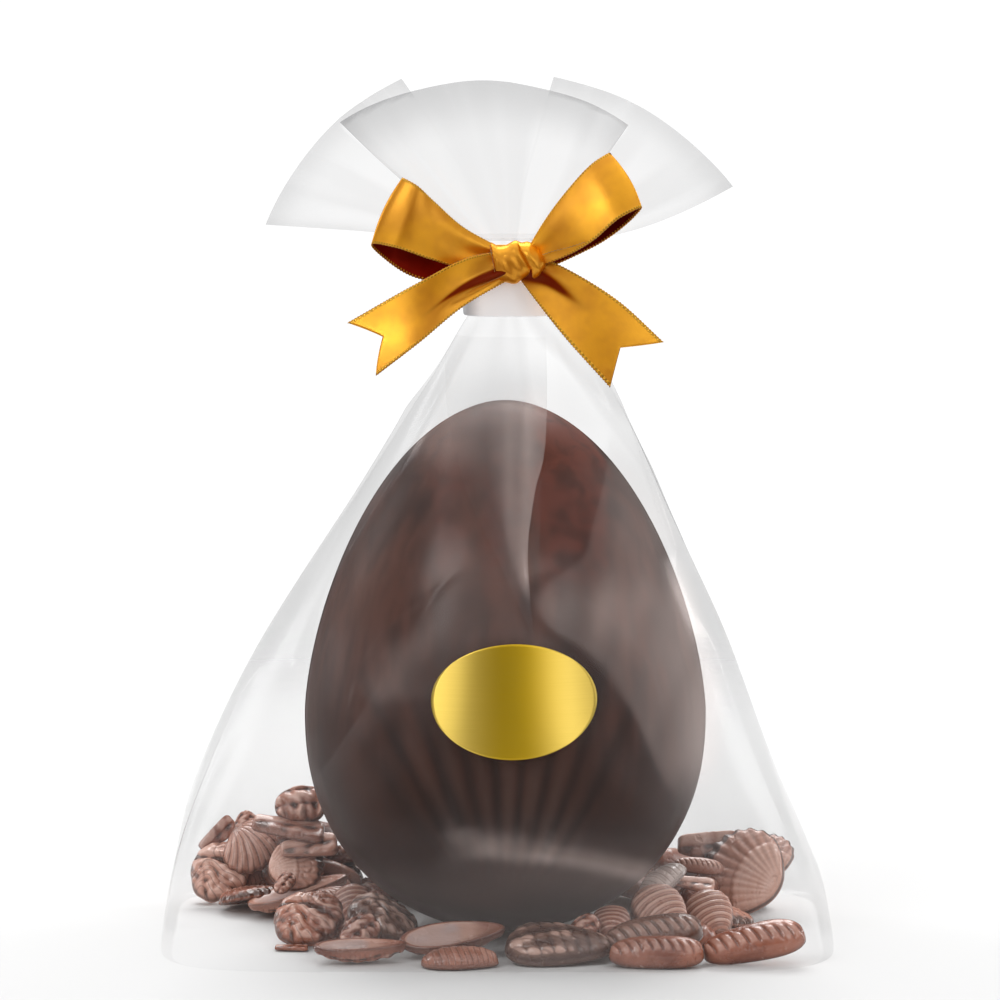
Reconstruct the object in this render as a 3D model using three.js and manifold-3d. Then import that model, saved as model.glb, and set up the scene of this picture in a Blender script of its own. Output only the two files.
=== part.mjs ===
// A filled chocolate egg bag: a clear block-bottomed gift bag round an egg and small moulded chocolates,
// gathered at the neck by a pale tie band, opened above it in three fans, with a satin ribbon bow
// and a bare gold oval label. Millimetres, +Z up, the front towards -Y, the origin under the middle.

import * as THREE from "three";
import { mergeVertices } from "three/addons/utils/BufferGeometryUtils.js";
import Module from "manifold-3d";

const wasm = await Module();
wasm.setup();

// The egg that the bag is draped over.
const EGG_HEIGHT = 151.5;
const EGG_DIAMETER = 114.6;
const EGG_WIDEST_Z = 63.8;
const EGG_BOTTOM_SHARE = 0.414;
const EGG_TOP_POWER = 1.554;
const EGG_BOTTOM_POWER = 2.327;

// The bag's body.
const BAG_WIDTH = 189.4;
const BAG_DEPTH = 120;
const BASE_RADIUS = 4;
const FILM_CLEARANCE = 1.2;
const DRAPE_TOP_Z = 124;
const BODY_TOP_Z = 177;
const BODY_ROUND = 56;
const BODY_STEPS = 22;
const BASE_SQUARENESS = 7;
const BODY_SQUARENESS = 2.3;

// The gathered neck, the band on it and the ribbon round it.
const NECK_X = 3;
const NECK_HALF_WIDTH = 11.4;
const NECK_HALF_DEPTH = 5.4;
const NECK_SQUARENESS = 3;
const NECK_TOP_Z = 199.5;
const PART_GAP = 0.4;
const BAND_BOTTOM_Z = 177.4;
const BAND_TOP_Z = 187.3;
const BAND_WALL = 0.9;
const WRAP_BOTTOM_Z = 188;
const WRAP_TOP_Z = 196.2;
const WRAP_WALL = 0.8;

// The fans of film above the neck.
const FAN_X = 5;
const FAN_Z = 190;
const FAN_THICKNESS = 1.2;
const FAN_COLUMNS = 20;
const FAN_ROWS = 8;

// The ribbon and its knot.
const RIBBON_THICKNESS = 0.8;
const LOOP_STEPS = 26;
const TAIL_STEPS = 10;
const RIBBON_COLUMNS = 3;
const TAIL_NOTCH = 0.2;
const KNOT_SIZE = new THREE.Vector3(15.8, 10, 12.2);
const KNOT_CENTRE = new THREE.Vector3(5.4, -11.3, 193.1);

// The label on the front.
const LABEL_WIDTH = 46;
const LABEL_HEIGHT = 31.6;
const LABEL_X = 4.6;
const LABEL_Z = 76.6;
const LABEL_GAP = 0.35;
const LABEL_THICKNESS = 0.5;
const LABEL_COLUMNS = 16;

const { lerp, degToRad } = THREE.MathUtils;

// A smooth curve through (height, value) pairs, as a function of the height.
function profile(pairs) {
  const slope = (i) => {
    const before = pairs[Math.max(i - 1, 0)];
    const after = pairs[Math.min(i + 1, pairs.length - 1)];
    return (after[1] - before[1]) / (after[0] - before[0]);
  };
  return (height) => {
    const last = pairs.length - 1;
    const h = THREE.MathUtils.clamp(height, pairs[0][0], pairs[last][0]);
    let i = 0;
    while (i < last - 1 && pairs[i + 1][0] < h) {
      i += 1;
    }
    const [h0, v0] = pairs[i];
    const [h1, v1] = pairs[i + 1];
    const span = h1 - h0;
    const t = (h - h0) / span;
    const rise = slope(i) * span;
    const arrive = slope(i + 1) * span;
    const bend = t * t * (3 - 2 * t);
    return lerp(v0, v1, bend) + rise * t * (1 - t) * (1 - t) - arrive * t * t * (1 - t);
  };
}

// The egg's radius at a height: two half ovals, the upper one pointed and the lower one full.
function eggRadius(z) {
  const below = EGG_HEIGHT * EGG_BOTTOM_SHARE;
  const h = z - EGG_WIDEST_Z;
  const share = h > 0 ? h / (EGG_HEIGHT - below) : -h / below;
  const power = h > 0 ? EGG_TOP_POWER : EGG_BOTTOM_POWER;
  return (EGG_DIAMETER / 2) * Math.sqrt(Math.max(0, 1 - share ** power));
}

// Half the bag's width, and how far its middle leans to the right, by height.
const sideProfile = profile([
  [0, BAG_WIDTH / 2 - BASE_RADIUS],
  [BASE_RADIUS, BAG_WIDTH / 2],
  [20, 91.2],
  [40, 84.6],
  [80, 68],
  [120, 47],
  [156, 27.5],
  [BODY_TOP_Z, NECK_HALF_WIDTH],
]);
const leanProfile = profile([
  [BASE_RADIUS, 0],
  [45, -2.7],
  [100, 0.6],
  [156, 5.3],
  [BODY_TOP_Z, NECK_X],
]);
const squareProfile = profile([
  [0, BASE_SQUARENESS],
  [60, BODY_SQUARENESS],
  [120, 2],
  [BODY_TOP_Z, NECK_SQUARENESS],
]);

// Half the bag's depth by height: upright over the lower egg, on its shoulder, then straight to the neck.
function depthAt(z) {
  if (z < BASE_RADIUS) {
    return lerp(BAG_DEPTH / 2 - BASE_RADIUS, BAG_DEPTH / 2, Math.sqrt(z / BASE_RADIUS));
  }
  if (z < EGG_WIDEST_Z) {
    const onEgg = EGG_DIAMETER / 2 + FILM_CLEARANCE;
    return lerp(BAG_DEPTH / 2, onEgg, (z - BASE_RADIUS) / (EGG_WIDEST_Z - BASE_RADIUS));
  }
  if (z < DRAPE_TOP_Z) {
    return eggRadius(z) + FILM_CLEARANCE;
  }
  const shoulder = eggRadius(DRAPE_TOP_Z) + FILM_CLEARANCE;
  const share = Math.min(1, (z - DRAPE_TOP_Z) / (BODY_TOP_Z - DRAPE_TOP_Z));
  return lerp(shoulder, NECK_HALF_DEPTH, share);
}

// A point of a rounded box outline: squareness 2 is an oval, and more is squarer.
function roundedBox(halfWidth, halfDepth, squareness, angle) {
  const power = 2 / squareness;
  const bow = (value) => Math.sign(value) * Math.abs(value) ** power;
  return new THREE.Vector2(halfWidth * bow(Math.cos(angle)), halfDepth * bow(Math.sin(angle)));
}

// The bag's outline at a height.
function bagPoint(z, angle) {
  const flat = roundedBox(sideProfile(z), depthAt(z), squareProfile(z), angle);
  return new THREE.Vector3(flat.x + leanProfile(z), flat.y, z);
}

// How far forward the bag's front reaches at a place.
function bagFront(x, z) {
  const share = Math.abs((x - leanProfile(z)) / sideProfile(z));
  const squareness = squareProfile(z);
  return -depthAt(z) * (1 - share ** squareness) ** (1 / squareness);
}

// A closed geometry from points and triangles, given as index triples.
function closedGeometry(points, triangles) {
  const geometry = new THREE.BufferGeometry().setFromPoints(points);
  geometry.setIndex(triangles.flat());
  return geometry;
}

// A solid lofted through closed rings of points, each end closed by a fan to its middle.
function loft(rings, bottom, top) {
  const around = rings[0].length;
  const points = [...rings.flat(), bottom, top];
  const bottomIndex = points.length - 2;
  const topIndex = points.length - 1;
  const lastRing = (rings.length - 1) * around;
  const triangles = [];
  for (let i = 0; i < around; i += 1) {
    const next = (i + 1) % around;
    triangles.push([bottomIndex, next, i]);
    triangles.push([topIndex, lastRing + i, lastRing + next]);
    for (let row = 0; row < lastRing; row += around) {
      triangles.push([row + i, row + next, row + around + i]);
      triangles.push([row + next, row + around + next, row + around + i]);
    }
  }
  return closedGeometry(points, triangles);
}

// A thin solid on both sides of a surface(u, v), with u and v from 0 to 1, both faces split alike.
function sheet(surface, thickness, columns, rows) {
  const nudge = 1e-3;
  const points = [];
  const place = (column, row, side) => (side * (rows + 1) + row) * (columns + 1) + column;
  for (const side of [0.5, -0.5]) {
    for (let row = 0; row <= rows; row += 1) {
      for (let column = 0; column <= columns; column += 1) {
        const u = column / columns;
        const v = row / rows;
        const du = u < 0.5 ? nudge : -nudge;
        const dv = v < 0.5 ? nudge : -nudge;
        const point = surface(u, v);
        const across = surface(u + du, v).sub(point).divideScalar(du);
        const along = surface(u, v + dv).sub(point).divideScalar(dv);
        const normal = across.cross(along).normalize();
        points.push(point.addScaledVector(normal, side * thickness));
      }
    }
  }
  const triangles = [];
  const square = (a, b, c, d) => triangles.push([a, b, c], [a, c, d]);
  for (let row = 0; row < rows; row += 1) {
    for (let column = 0; column < columns; column += 1) {
      const corners = [
        [column, row],
        [column + 1, row],
        [column + 1, row + 1],
        [column, row + 1],
      ];
      const [a, b, c, d] = corners.map(([i, j]) => place(i, j, 0));
      const [e, f, g, h] = corners.map(([i, j]) => place(i, j, 1));
      triangles.push([a, b, c], [a, c, d]);
      triangles.push([e, g, f], [e, h, g]);
    }
  }
  for (let row = 0; row < rows; row += 1) {
    square(place(0, row, 0), place(0, row + 1, 0), place(0, row + 1, 1), place(0, row, 1));
    square(place(columns, row + 1, 0), place(columns, row, 0), place(columns, row, 1), place(columns, row + 1, 1));
  }
  for (let column = 0; column < columns; column += 1) {
    square(place(column + 1, 0, 0), place(column, 0, 0), place(column, 0, 1), place(column + 1, 0, 1));
    square(place(column, rows, 0), place(column + 1, rows, 0), place(column + 1, rows, 1), place(column, rows, 1));
  }
  return closedGeometry(points, triangles);
}

// A three.js geometry as a solid that can be joined and cut.
function solid(geometry) {
  const bare = geometry.clone();
  bare.deleteAttribute("normal");
  bare.deleteAttribute("uv");
  const merged = mergeVertices(bare, 1e-4);
  const index = merged.index.array;
  const kept = [];
  for (let i = 0; i < index.length; i += 3) {
    const [a, b, c] = index.slice(i, i + 3);
    if (a !== b && b !== c && c !== a) {
      kept.push(a, b, c);
    }
  }
  const vertProperties = Float32Array.from(merged.attributes.position.array);
  return new wasm.Manifold(new wasm.Mesh({ numProp: 3, vertProperties, triVerts: Uint32Array.from(kept) }));
}

// The geometries joined into one.
function join(geometries) {
  const [first, ...rest] = geometries.map(solid);
  const whole = rest.reduce((sum, next) => sum.add(next), first).getMesh();
  const geometry = new THREE.BufferGeometry();
  geometry.setAttribute("position", new THREE.BufferAttribute(whole.vertProperties, 3));
  geometry.setIndex(new THREE.BufferAttribute(whole.triVerts, 1));
  return geometry;
}

// The filled body up to the top of the gathered neck.
function bagBody() {
  const heights = [0, BASE_RADIUS / 3, BASE_RADIUS];
  for (let step = 1; step <= BODY_STEPS; step += 1) {
    heights.push(lerp(BASE_RADIUS, BODY_TOP_Z, step / BODY_STEPS));
  }
  heights.push(NECK_TOP_Z);
  const rings = heights.map((z) => {
    const ring = [];
    for (let i = 0; i < BODY_ROUND; i += 1) {
      ring.push(bagPoint(z, (2 * Math.PI * i) / BODY_ROUND).setZ(z));
    }
    return ring;
  });
  return loft(rings, new THREE.Vector3(0, 0, 0), new THREE.Vector3(NECK_X, 0, NECK_TOP_Z));
}

// One fan of film. It leaves the neck upwards, bends over and spreads between two angles about the fan's
// centre. Its rim radius goes from one end's to the other's with a dip between, and folds run out from the neck.
function fan({ angles, radii, dip, droop, rootX, rootY, rimY, folds, depth, phase }) {
  const surface = (u, v) => {
    const angle = degToRad(lerp(angles[0], angles[1], u));
    const radius = lerp(radii[0], radii[1], u) - 4 * dip * u * (1 - u);
    const root = new THREE.Vector3(NECK_X + lerp(rootX[0], rootX[1], u), rootY, NECK_TOP_Z - FAN_THICKNESS);
    const rim = new THREE.Vector3(FAN_X + radius * Math.cos(angle), rimY, FAN_Z + radius * Math.sin(angle));
    const leave = degToRad(lerp(droop[0], droop[1], u));
    const reach = 0.35 * radius;
    const bend = new THREE.Vector3(root.x + reach * Math.cos(leave), rootY, root.z + reach * Math.sin(leave));
    const point = new THREE.QuadraticBezierCurve3(root, bend, rim).getPoint(v);
    point.y += depth * v * Math.sin(2 * Math.PI * (folds * u + phase));
    return point;
  };
  return sheet(surface, FAN_THICKNESS, FAN_COLUMNS, FAN_ROWS);
}

function fans() {
  const front = fan({
    angles: [139.5, 52.7], radii: [64.7, 52.2], dip: 4.5, droop: [146, 46],
    rootX: [-8, 8], rootY: -1.5, rimY: -4.5, folds: 2.5, depth: 1.8, phase: 0.1,
  });
  const backLeft = fan({
    angles: [171.1, 121.2], radii: [71.4, 61.8], dip: 1, droop: [176, 118],
    rootX: [-9, -1], rootY: 1.5, rimY: 11, folds: 1.5, depth: 2, phase: 0.35,
  });
  const backRight = fan({
    angles: [78.6, 19.8], radii: [54.7, 65.3], dip: 2.5, droop: [80, -8],
    rootX: [1, 9], rootY: 1.5, rimY: 9, folds: 1.5, depth: 2, phase: 0.6,
  });
  return [front, backLeft, backRight];
}

// A ring of even height round the gathered neck.
function neckRing(wall, squareness, bottom, top) {
  const outline = (grow) => {
    const points = [];
    for (let i = 0; i < BODY_ROUND; i += 1) {
      const angle = (2 * Math.PI * i) / BODY_ROUND;
      points.push(roundedBox(NECK_HALF_WIDTH + grow, NECK_HALF_DEPTH + grow, squareness, angle));
    }
    return points;
  };
  const shape = new THREE.Shape(outline(PART_GAP + wall));
  shape.holes.push(new THREE.Path(outline(PART_GAP)));
  const geometry = new THREE.ExtrudeGeometry(shape, { depth: top - bottom, bevelEnabled: false });
  return geometry.translate(NECK_X, 0, bottom);
}

// A length of ribbon between its two selvedges, each a smooth curve through the points given.
// The cut end of a tail has a V notch.
function ribbon(upper, lower, steps, notch = 0) {
  const upperEdge = new THREE.CatmullRomCurve3(upper.map((p) => new THREE.Vector3(...p)));
  const lowerEdge = new THREE.CatmullRomCurve3(lower.map((p) => new THREE.Vector3(...p)));
  const surface = (u, v) => {
    const end = 1 - notch * (1 - Math.abs(2 * u - 1));
    return upperEdge.getPoint(v * end).lerp(lowerEdge.getPoint(v * end), u);
  };
  return sheet(surface, RIBBON_THICKNESS, notch ? RIBBON_COLUMNS + 1 : RIBBON_COLUMNS, steps);
}

// Each loop runs out in front, folds over at its far end and comes back behind, lower down.
function leftLoop() {
  const upper = [
    [0, -12, 198], [-9.8, -14.5, 204], [-17.4, -16, 211.1], [-22.4, -16.5, 215.8], [-27, -14, 217.9],
    [-24.5, -11, 215.5], [-17, -10, 208], [-9, -9.5, 201], [1, -9.5, 196],
  ];
  const lower = [
    [0, -12, 191.5], [-10, -14.5, 192.5], [-19, -17, 195.3], [-29, -17.5, 198.9], [-35.6, -15, 199.4],
    [-31.5, -11.5, 194.4], [-23.5, -10, 189.3], [-12, -9.5, 187.4], [1, -9.5, 188.5],
  ];
  return ribbon(upper, lower, LOOP_STEPS);
}

function rightLoop() {
  const upper = [
    [9, -12, 198], [13.5, -13, 206], [19.5, -13, 214.2], [26.5, -12, 221.6], [31.8, -9.8, 224.4],
    [28, -8.6, 219.5], [21.5, -8.8, 211.5], [15.5, -9.2, 203.5], [9, -9.5, 197],
  ];
  const lower = [
    [10, -12.5, 191.5], [19.5, -17.5, 196.2], [26.3, -20.5, 200.7], [34, -21.5, 207.6], [40.6, -20, 210.4],
    [37.4, -16.5, 206.5], [30, -13.5, 200.6], [21, -11.5, 195.6], [10, -10, 190.5],
  ];
  return ribbon(upper, lower, LOOP_STEPS);
}

// The tails leave the knot, the left one over its loop, and hang stiffly outwards to their notched ends.
function leftTail() {
  const upper = [[2, -13.5, 197], [-8.4, -18.5, 195.7], [-22.6, -20, 188.5], [-41.8, -17.5, 177.1]];
  const lower = [[3, -13.5, 189], [-10.1, -20, 182], [-22, -25, 172.6], [-33.8, -27, 163.6]];
  return ribbon(upper, lower, TAIL_STEPS, TAIL_NOTCH);
}

function rightTail() {
  const upper = [[9, -11, 196], [18.5, -14, 192.4], [33.5, -17.5, 183.6], [46.4, -19, 172]];
  const lower = [[5, -11, 190.5], [10.5, -14.5, 183.5], [19, -19.5, 173.4], [31.5, -23, 159.9]];
  return ribbon(upper, lower, TAIL_STEPS, TAIL_NOTCH);
}

// The knot: a plump wrap of ribbon, pinched a little across its middle.
function knot() {
  const pinch = 0.1;
  const plump = 0.75;
  const geometry = new THREE.SphereGeometry(1, 24, 14);
  const position = geometry.attributes.position;
  const bow = (value) => Math.sign(value) * Math.abs(value) ** plump;
  for (let i = 0; i < position.count; i += 1) {
    const x = bow(position.getX(i));
    const waist = 1 - pinch * Math.cos(2.2 * Math.PI * x);
    position.setXYZ(
      i,
      KNOT_CENTRE.x + (KNOT_SIZE.x / 2) * x,
      KNOT_CENTRE.y + (KNOT_SIZE.y / 2) * bow(position.getY(i)) * waist,
      KNOT_CENTRE.z + (KNOT_SIZE.z / 2) * bow(position.getZ(i)) * waist,
    );
  }
  return geometry;
}

function ribbonBow() {
  const wrap = neckRing(WRAP_WALL, NECK_SQUARENESS, WRAP_BOTTOM_Z, WRAP_TOP_Z);
  return join([knot(), wrap, leftLoop(), rightLoop(), leftTail(), rightTail()]);
}

// The oval label, bent to the bag's front. A square grid is drawn in to the oval.
function label() {
  const surface = (u, v) => {
    const s = 2 * u - 1;
    const t = 2 * v - 1;
    const x = LABEL_X + (LABEL_WIDTH / 2) * s * Math.sqrt(1 - (t * t) / 2);
    const z = LABEL_Z + (LABEL_HEIGHT / 2) * t * Math.sqrt(1 - (s * s) / 2);
    return new THREE.Vector3(x, bagFront(x, z) - LABEL_GAP - LABEL_THICKNESS / 2, z);
  };
  return sheet(surface, LABEL_THICKNESS, LABEL_COLUMNS, LABEL_COLUMNS);
}

function mesh(name, geometry, material) {
  const piece = new THREE.Mesh(geometry, new THREE.MeshStandardMaterial(material));
  piece.name = name;
  return piece;
}

const FILM = { color: 0xe6e7ea, roughness: 0.12, metalness: 0 };
const PALE_BAND = { color: 0xdfe1e6, roughness: 0.35, metalness: 0 };
const SATIN = { color: 0xe09a22, roughness: 0.38, metalness: 0 };
const GOLD_FOIL = { color: 0xc9a227, roughness: 0.3, metalness: 1 };

const egg = new THREE.Group();
egg.add(mesh("bag", join([bagBody(), ...fans()]), FILM));
egg.add(mesh("tie_band", neckRing(BAND_WALL, NECK_SQUARENESS, BAND_BOTTOM_Z, BAND_TOP_Z), PALE_BAND));
egg.add(mesh("ribbon_bow", ribbonBow(), SATIN));
egg.add(mesh("label", label(), GOLD_FOIL));

export default egg;
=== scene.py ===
"""A dark chocolate egg among small moulded milk chocolates, in a clear gift bag gathered at the neck,
with a gold satin bow and a bare gold oval label. Sizes are in millimetres until a mesh is made."""

import math

import bpy
import numpy as np
from mathutils import Matrix, Vector


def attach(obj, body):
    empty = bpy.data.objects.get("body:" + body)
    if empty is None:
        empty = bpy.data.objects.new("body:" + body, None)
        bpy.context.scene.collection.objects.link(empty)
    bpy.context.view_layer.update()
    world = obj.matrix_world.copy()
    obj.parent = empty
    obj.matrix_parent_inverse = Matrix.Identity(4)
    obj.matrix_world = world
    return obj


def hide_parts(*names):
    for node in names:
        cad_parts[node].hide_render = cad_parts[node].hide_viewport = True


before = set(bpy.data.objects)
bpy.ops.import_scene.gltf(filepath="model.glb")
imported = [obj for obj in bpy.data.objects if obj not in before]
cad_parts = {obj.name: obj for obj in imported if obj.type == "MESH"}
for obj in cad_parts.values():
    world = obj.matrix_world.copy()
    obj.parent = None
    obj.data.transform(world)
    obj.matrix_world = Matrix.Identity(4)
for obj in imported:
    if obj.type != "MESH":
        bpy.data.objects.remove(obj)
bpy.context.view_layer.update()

MM = 0.001

# The egg, a body of revolution that is pointed above and full below.
EGG_HEIGHT = 151.5
EGG_DIAMETER = 114.6
EGG_WIDEST_Z = 63.8
EGG_X = 2.2
EGG_BELOW = EGG_HEIGHT * 0.414
EGG_ABOVE = EGG_HEIGHT - EGG_BELOW
EGG_TOP_POWER = 1.554
EGG_BOTTOM_POWER = 2.327
EGG_INSET = 0.8

# The moulded shell on the egg's faces.
SHELL_ORIGIN_Z = -22
SHELL_RIM_Z = 109
SHELL_STEP = 0.35
RIB_ORIGIN_Z = 4
RIB_ANGLE = math.radians(7.9)
RIB_HEIGHT = 0.60
SEAM_HEIGHT = 0.35

# The bag's body and its gathered neck.
BAG_WIDTH = 189.4
BAG_DEPTH = 120
BASE_RADIUS = 4
FOOT_RADIUS = 1.5
FOOT_BLEND = 14
FILM_CLEARANCE = 1.2
DRAPE_TOP_Z = 124
BODY_TOP_Z = 177
NECK_X = 3
NECK_HALF_WIDTH = 11.4
NECK_HALF_DEPTH = 5.4
NECK_SQUARENESS = 3
NECK_TOP_Z = 199.5
PART_GAP = 0.4

# The pleat of spare film on the front, and the clear wedge between the doubled folds under the neck.
PLEAT_BOTTOM_Z = 95
PLEAT_TOP_Z = 172
PLEAT_GAP = 0.45
WEDGE_X = 6.4
WEDGE_TOP_Z = 176.5

# How much less clear the film is where it is seen edge on.
RIM_ALPHA = 0.05

# The fans of film.
FAN_X = 5
FAN_Z = 190
FAN_COLUMNS = 120
FAN_ROWS = 60

# The heap of small chocolates: how far they stay from the base, the egg and the film.
HEAP_BASE_Z = 0.3
BALL_BASE_GAP = 0.5
BALL_EGG_GAP = 0.2
BALL_SIDE_GAP = 2.0
BALL_FRONT_GAP = 1.6
SINK_EACH_ROUND = 0.012

# The band, and the ribbon's wrap above it.
BAND_WALL = 0.9
BAND_BOTTOM_Z = 177.4
BAND_TOP_Z = 187.3
WRAP_WALL = 0.8
WRAP_BOTTOM_Z = 188
WRAP_TOP_Z = 196.2
WRAP_RIPPLE = 0.25

# The ribbon, its stitched selvedges and its knot.
RIBBON_THICKNESS = 0.35
TAIL_NOTCH = 0.12
BEAD_PITCH = 0.88
STITCH_PITCH = 0.95
STEPS_PER_STITCH = 7
STITCH_RADIUS = 0.12
THREAD_RADIUS = 0.10
THREAD_SIDES = 5
KNOT_LEFT_X = -1.2
KNOT_LENGTH = 14.8
KNOT_Y = -11.3
KNOT_DEPTH = 10
KNOT_RADIUS = 6

# The label.
LABEL_WIDTH = 46
LABEL_HEIGHT = 31.6
LABEL_THICKNESS = 0.35
LABEL_X = 4.6
LABEL_Z = 76.6
LABEL_GAP = 0.75


# ---------------------------------------------------------------- shapes

def profile(pairs):
    """A smooth curve through (place, value) pairs, as a function of an array of places."""
    places, values = np.array(pairs, float).T
    before = np.r_[0, np.arange(len(places) - 1)]
    after = np.r_[np.arange(1, len(places)), len(places) - 1]
    slopes = (values[after] - values[before]) / (places[after] - places[before])

    def at(place):
        h = np.clip(place, places[0], places[-1])
        i = np.clip(np.searchsorted(places, h) - 1, 0, len(places) - 2)
        span = places[i + 1] - places[i]
        t = (h - places[i]) / span
        bend = t * t * (3 - 2 * t)
        rise = slopes[i] * span * t * (1 - t) ** 2
        arrive = slopes[i + 1] * span * t * t * (1 - t)
        return values[i] + (values[i + 1] - values[i]) * bend + rise - arrive

    return at


def ease(low, high, x):
    """0 up to low, 1 from high on and a smooth S between, or the other way round where low is above high."""
    t = np.clip((x - low) / (high - low), 0, 1)
    return t * t * (3 - 2 * t)


def between(z, start, end, soft=8):
    return ease(start, start + soft, z) * ease(end, end - soft, z)


def hill(off, spread):
    """A smooth rise to 1 in the middle."""
    return np.exp(-((off / spread) ** 2))


def peak(off, spread):
    """A sharp rise to 1 in the middle."""
    return np.exp(-np.abs(off) / spread)


def mix(pair, share):
    return pair[0] + (pair[1] - pair[0]) * share


def signed_power(value, power):
    return np.sign(value) * np.abs(value) ** power


def unit(vectors):
    return vectors / np.maximum(np.linalg.norm(vectors, axis=-1, keepdims=True), 1e-9)


def xyz(x, y, z):
    """Points from their coordinates, each an array or a number."""
    return np.stack(np.broadcast_arrays(x, y, z), -1)


def once_round(count):
    """Angles once round a circle."""
    return np.linspace(0, 2 * np.pi, count, endpoint=False)


def shares(columns, rows):
    """How far across and how far along a grid each of its points is, from 0 to 1."""
    return np.meshgrid(np.linspace(0, 1, columns), np.linspace(0, 1, rows))


def disc(count):
    """A square grid of points, rounded into a disc of radius 1."""
    s, t = np.meshgrid(np.linspace(-1, 1, count), np.linspace(-1, 1, count))
    return s * np.sqrt(1 - t * t / 2), t * np.sqrt(1 - s * s / 2)


def egg_heights(turn):
    """Heights down the egg's side, for turns from 0 at its top to half a circle at its foot."""
    return EGG_WIDEST_Z + np.where(turn < np.pi / 2, EGG_ABOVE, EGG_BELOW) * np.cos(turn)


def egg_radius(z):
    h = np.asarray(z, float) - EGG_WIDEST_Z
    share = np.where(h > 0, h / EGG_ABOVE, -h / EGG_BELOW)
    power = np.where(h > 0, EGG_TOP_POWER, EGG_BOTTOM_POWER)
    return EGG_DIAMETER / 2 * np.sqrt(np.clip(1 - np.clip(share, 0, None) ** power, 0, None))


# Half the bag's width, how far its middle leans to the right and how square it is in plan, by height.
side_profile = profile([
    (0, BAG_WIDTH / 2 - BASE_RADIUS), (BASE_RADIUS, BAG_WIDTH / 2), (20, 91.2), (40, 84.6),
    (80, 68), (120, 47), (156, 27.5), (BODY_TOP_Z, NECK_HALF_WIDTH),
])
lean_profile = profile([(BASE_RADIUS, 0), (45, -2.7), (100, 0.6), (156, 5.3), (BODY_TOP_Z, NECK_X)])
square_profile = profile([(0, 7), (60, 2.3), (120, 2), (BODY_TOP_Z, NECK_SQUARENESS)])


def depth_at(z):
    """Half the bag's depth: upright over the lower egg, on its shoulder, then straight to the neck."""
    z = np.asarray(z, float)
    on_egg = EGG_DIAMETER / 2 + FILM_CLEARANCE
    foot = BAG_DEPTH / 2 - BASE_RADIUS * (1 - np.sqrt(np.clip(z / BASE_RADIUS, 0, 1)))
    low = foot + (on_egg - BAG_DEPTH / 2) * np.clip((z - BASE_RADIUS) / (EGG_WIDEST_Z - BASE_RADIUS), 0, 1)
    shoulder = egg_radius(DRAPE_TOP_Z) + FILM_CLEARANCE
    share = np.clip((z - DRAPE_TOP_Z) / (BODY_TOP_Z - DRAPE_TOP_Z), 0, 1)
    high = mix((shoulder, NECK_HALF_DEPTH), share)
    return np.where(z < EGG_WIDEST_Z, low, np.where(z < DRAPE_TOP_Z, egg_radius(z) + FILM_CLEARANCE, high))


def rounded_box(half_width, half_depth, squareness, angle):
    power = 2 / squareness
    return half_width * signed_power(np.cos(angle), power), half_depth * signed_power(np.sin(angle), power)


def bag_front(x, z):
    """How far forward the smooth bag's front reaches at a place."""
    n = square_profile(z)
    share = np.clip(np.abs((x - lean_profile(z)) / side_profile(z)), 0, 1)
    return -depth_at(z) * (1 - share ** n) ** (1 / n)


def catmull_rom(points, t):
    """Points along a centripetal Catmull-Rom curve at the shares t of its length in spans."""
    p = np.array(points, float)
    p = np.vstack([2 * p[0] - p[1], p, 2 * p[-1] - p[-2]])
    t = np.clip(np.asarray(t, float), 0, 1) * (len(points) - 1)
    i = np.minimum(t.astype(int), len(points) - 2)
    w = (t - i)[..., None]
    p0, p1, p2, p3 = p[i], p[i + 1], p[i + 2], p[i + 3]
    d0, d1, d2 = (np.maximum(np.linalg.norm(b - a, axis=-1), 1e-4)[..., None] ** 0.5
                  for a, b in ((p0, p1), (p1, p2), (p2, p3)))
    m1 = ((p1 - p0) / d0 - (p2 - p0) / (d0 + d1) + (p2 - p1) / d1) * d1
    m2 = ((p2 - p1) / d1 - (p3 - p1) / (d1 + d2) + (p3 - p2) / d2) * d1
    return (p1 * (1 + 2 * w) * (1 - w) ** 2 + p2 * w * w * (3 - 2 * w)
            + m1 * w * (1 - w) ** 2 - m2 * w * w * (1 - w))


def waves(*coordinates, seed, count, low, high):
    """A smooth random field: seeded sine waves between two wave numbers, summed to about -1 to 1."""
    rng = np.random.default_rng(seed)
    total = 0
    for _ in range(count):
        direction = rng.normal(size=len(coordinates))
        direction /= np.linalg.norm(direction)
        number = rng.uniform(low, high)
        phase = rng.uniform(0, 2 * np.pi)
        total = total + np.sin(number * sum(d * c for d, c in zip(direction, coordinates)) + phase)
    return total / math.sqrt(count)


# ---------------------------------------------------------------- meshes

def new_object(name, data):
    obj = bpy.data.objects.new(name, data)
    bpy.context.scene.collection.objects.link(obj)
    return obj


def mesh_object(name, points, faces, uv=None, smooth=True):
    """A mesh object from points in millimetres and faces, with a UV per point if given."""
    data = bpy.data.meshes.new(name)
    places = np.asarray(points, float).reshape(-1, 3) * MM
    data.from_pydata(places.tolist(), [], [list(map(int, face)) for face in faces])
    if uv is not None:
        layer = data.uv_layers.new(name="UVMap")
        loops = np.zeros(len(data.loops), np.int32)
        data.loops.foreach_get("vertex_index", loops)
        layer.data.foreach_set("uv", np.asarray(uv, np.float32).reshape(-1, 2)[loops].ravel())
    data.polygons.foreach_set("use_smooth", np.full(len(data.polygons), smooth))
    data.update()
    return new_object(name, data)


def point_value(obj, name, values):
    """Keeps one number per point, for the piece's material."""
    layer = obj.data.attributes.new(name, "FLOAT", "POINT")
    layer.data.foreach_set("value", np.asarray(values, np.float32).ravel())


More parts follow.
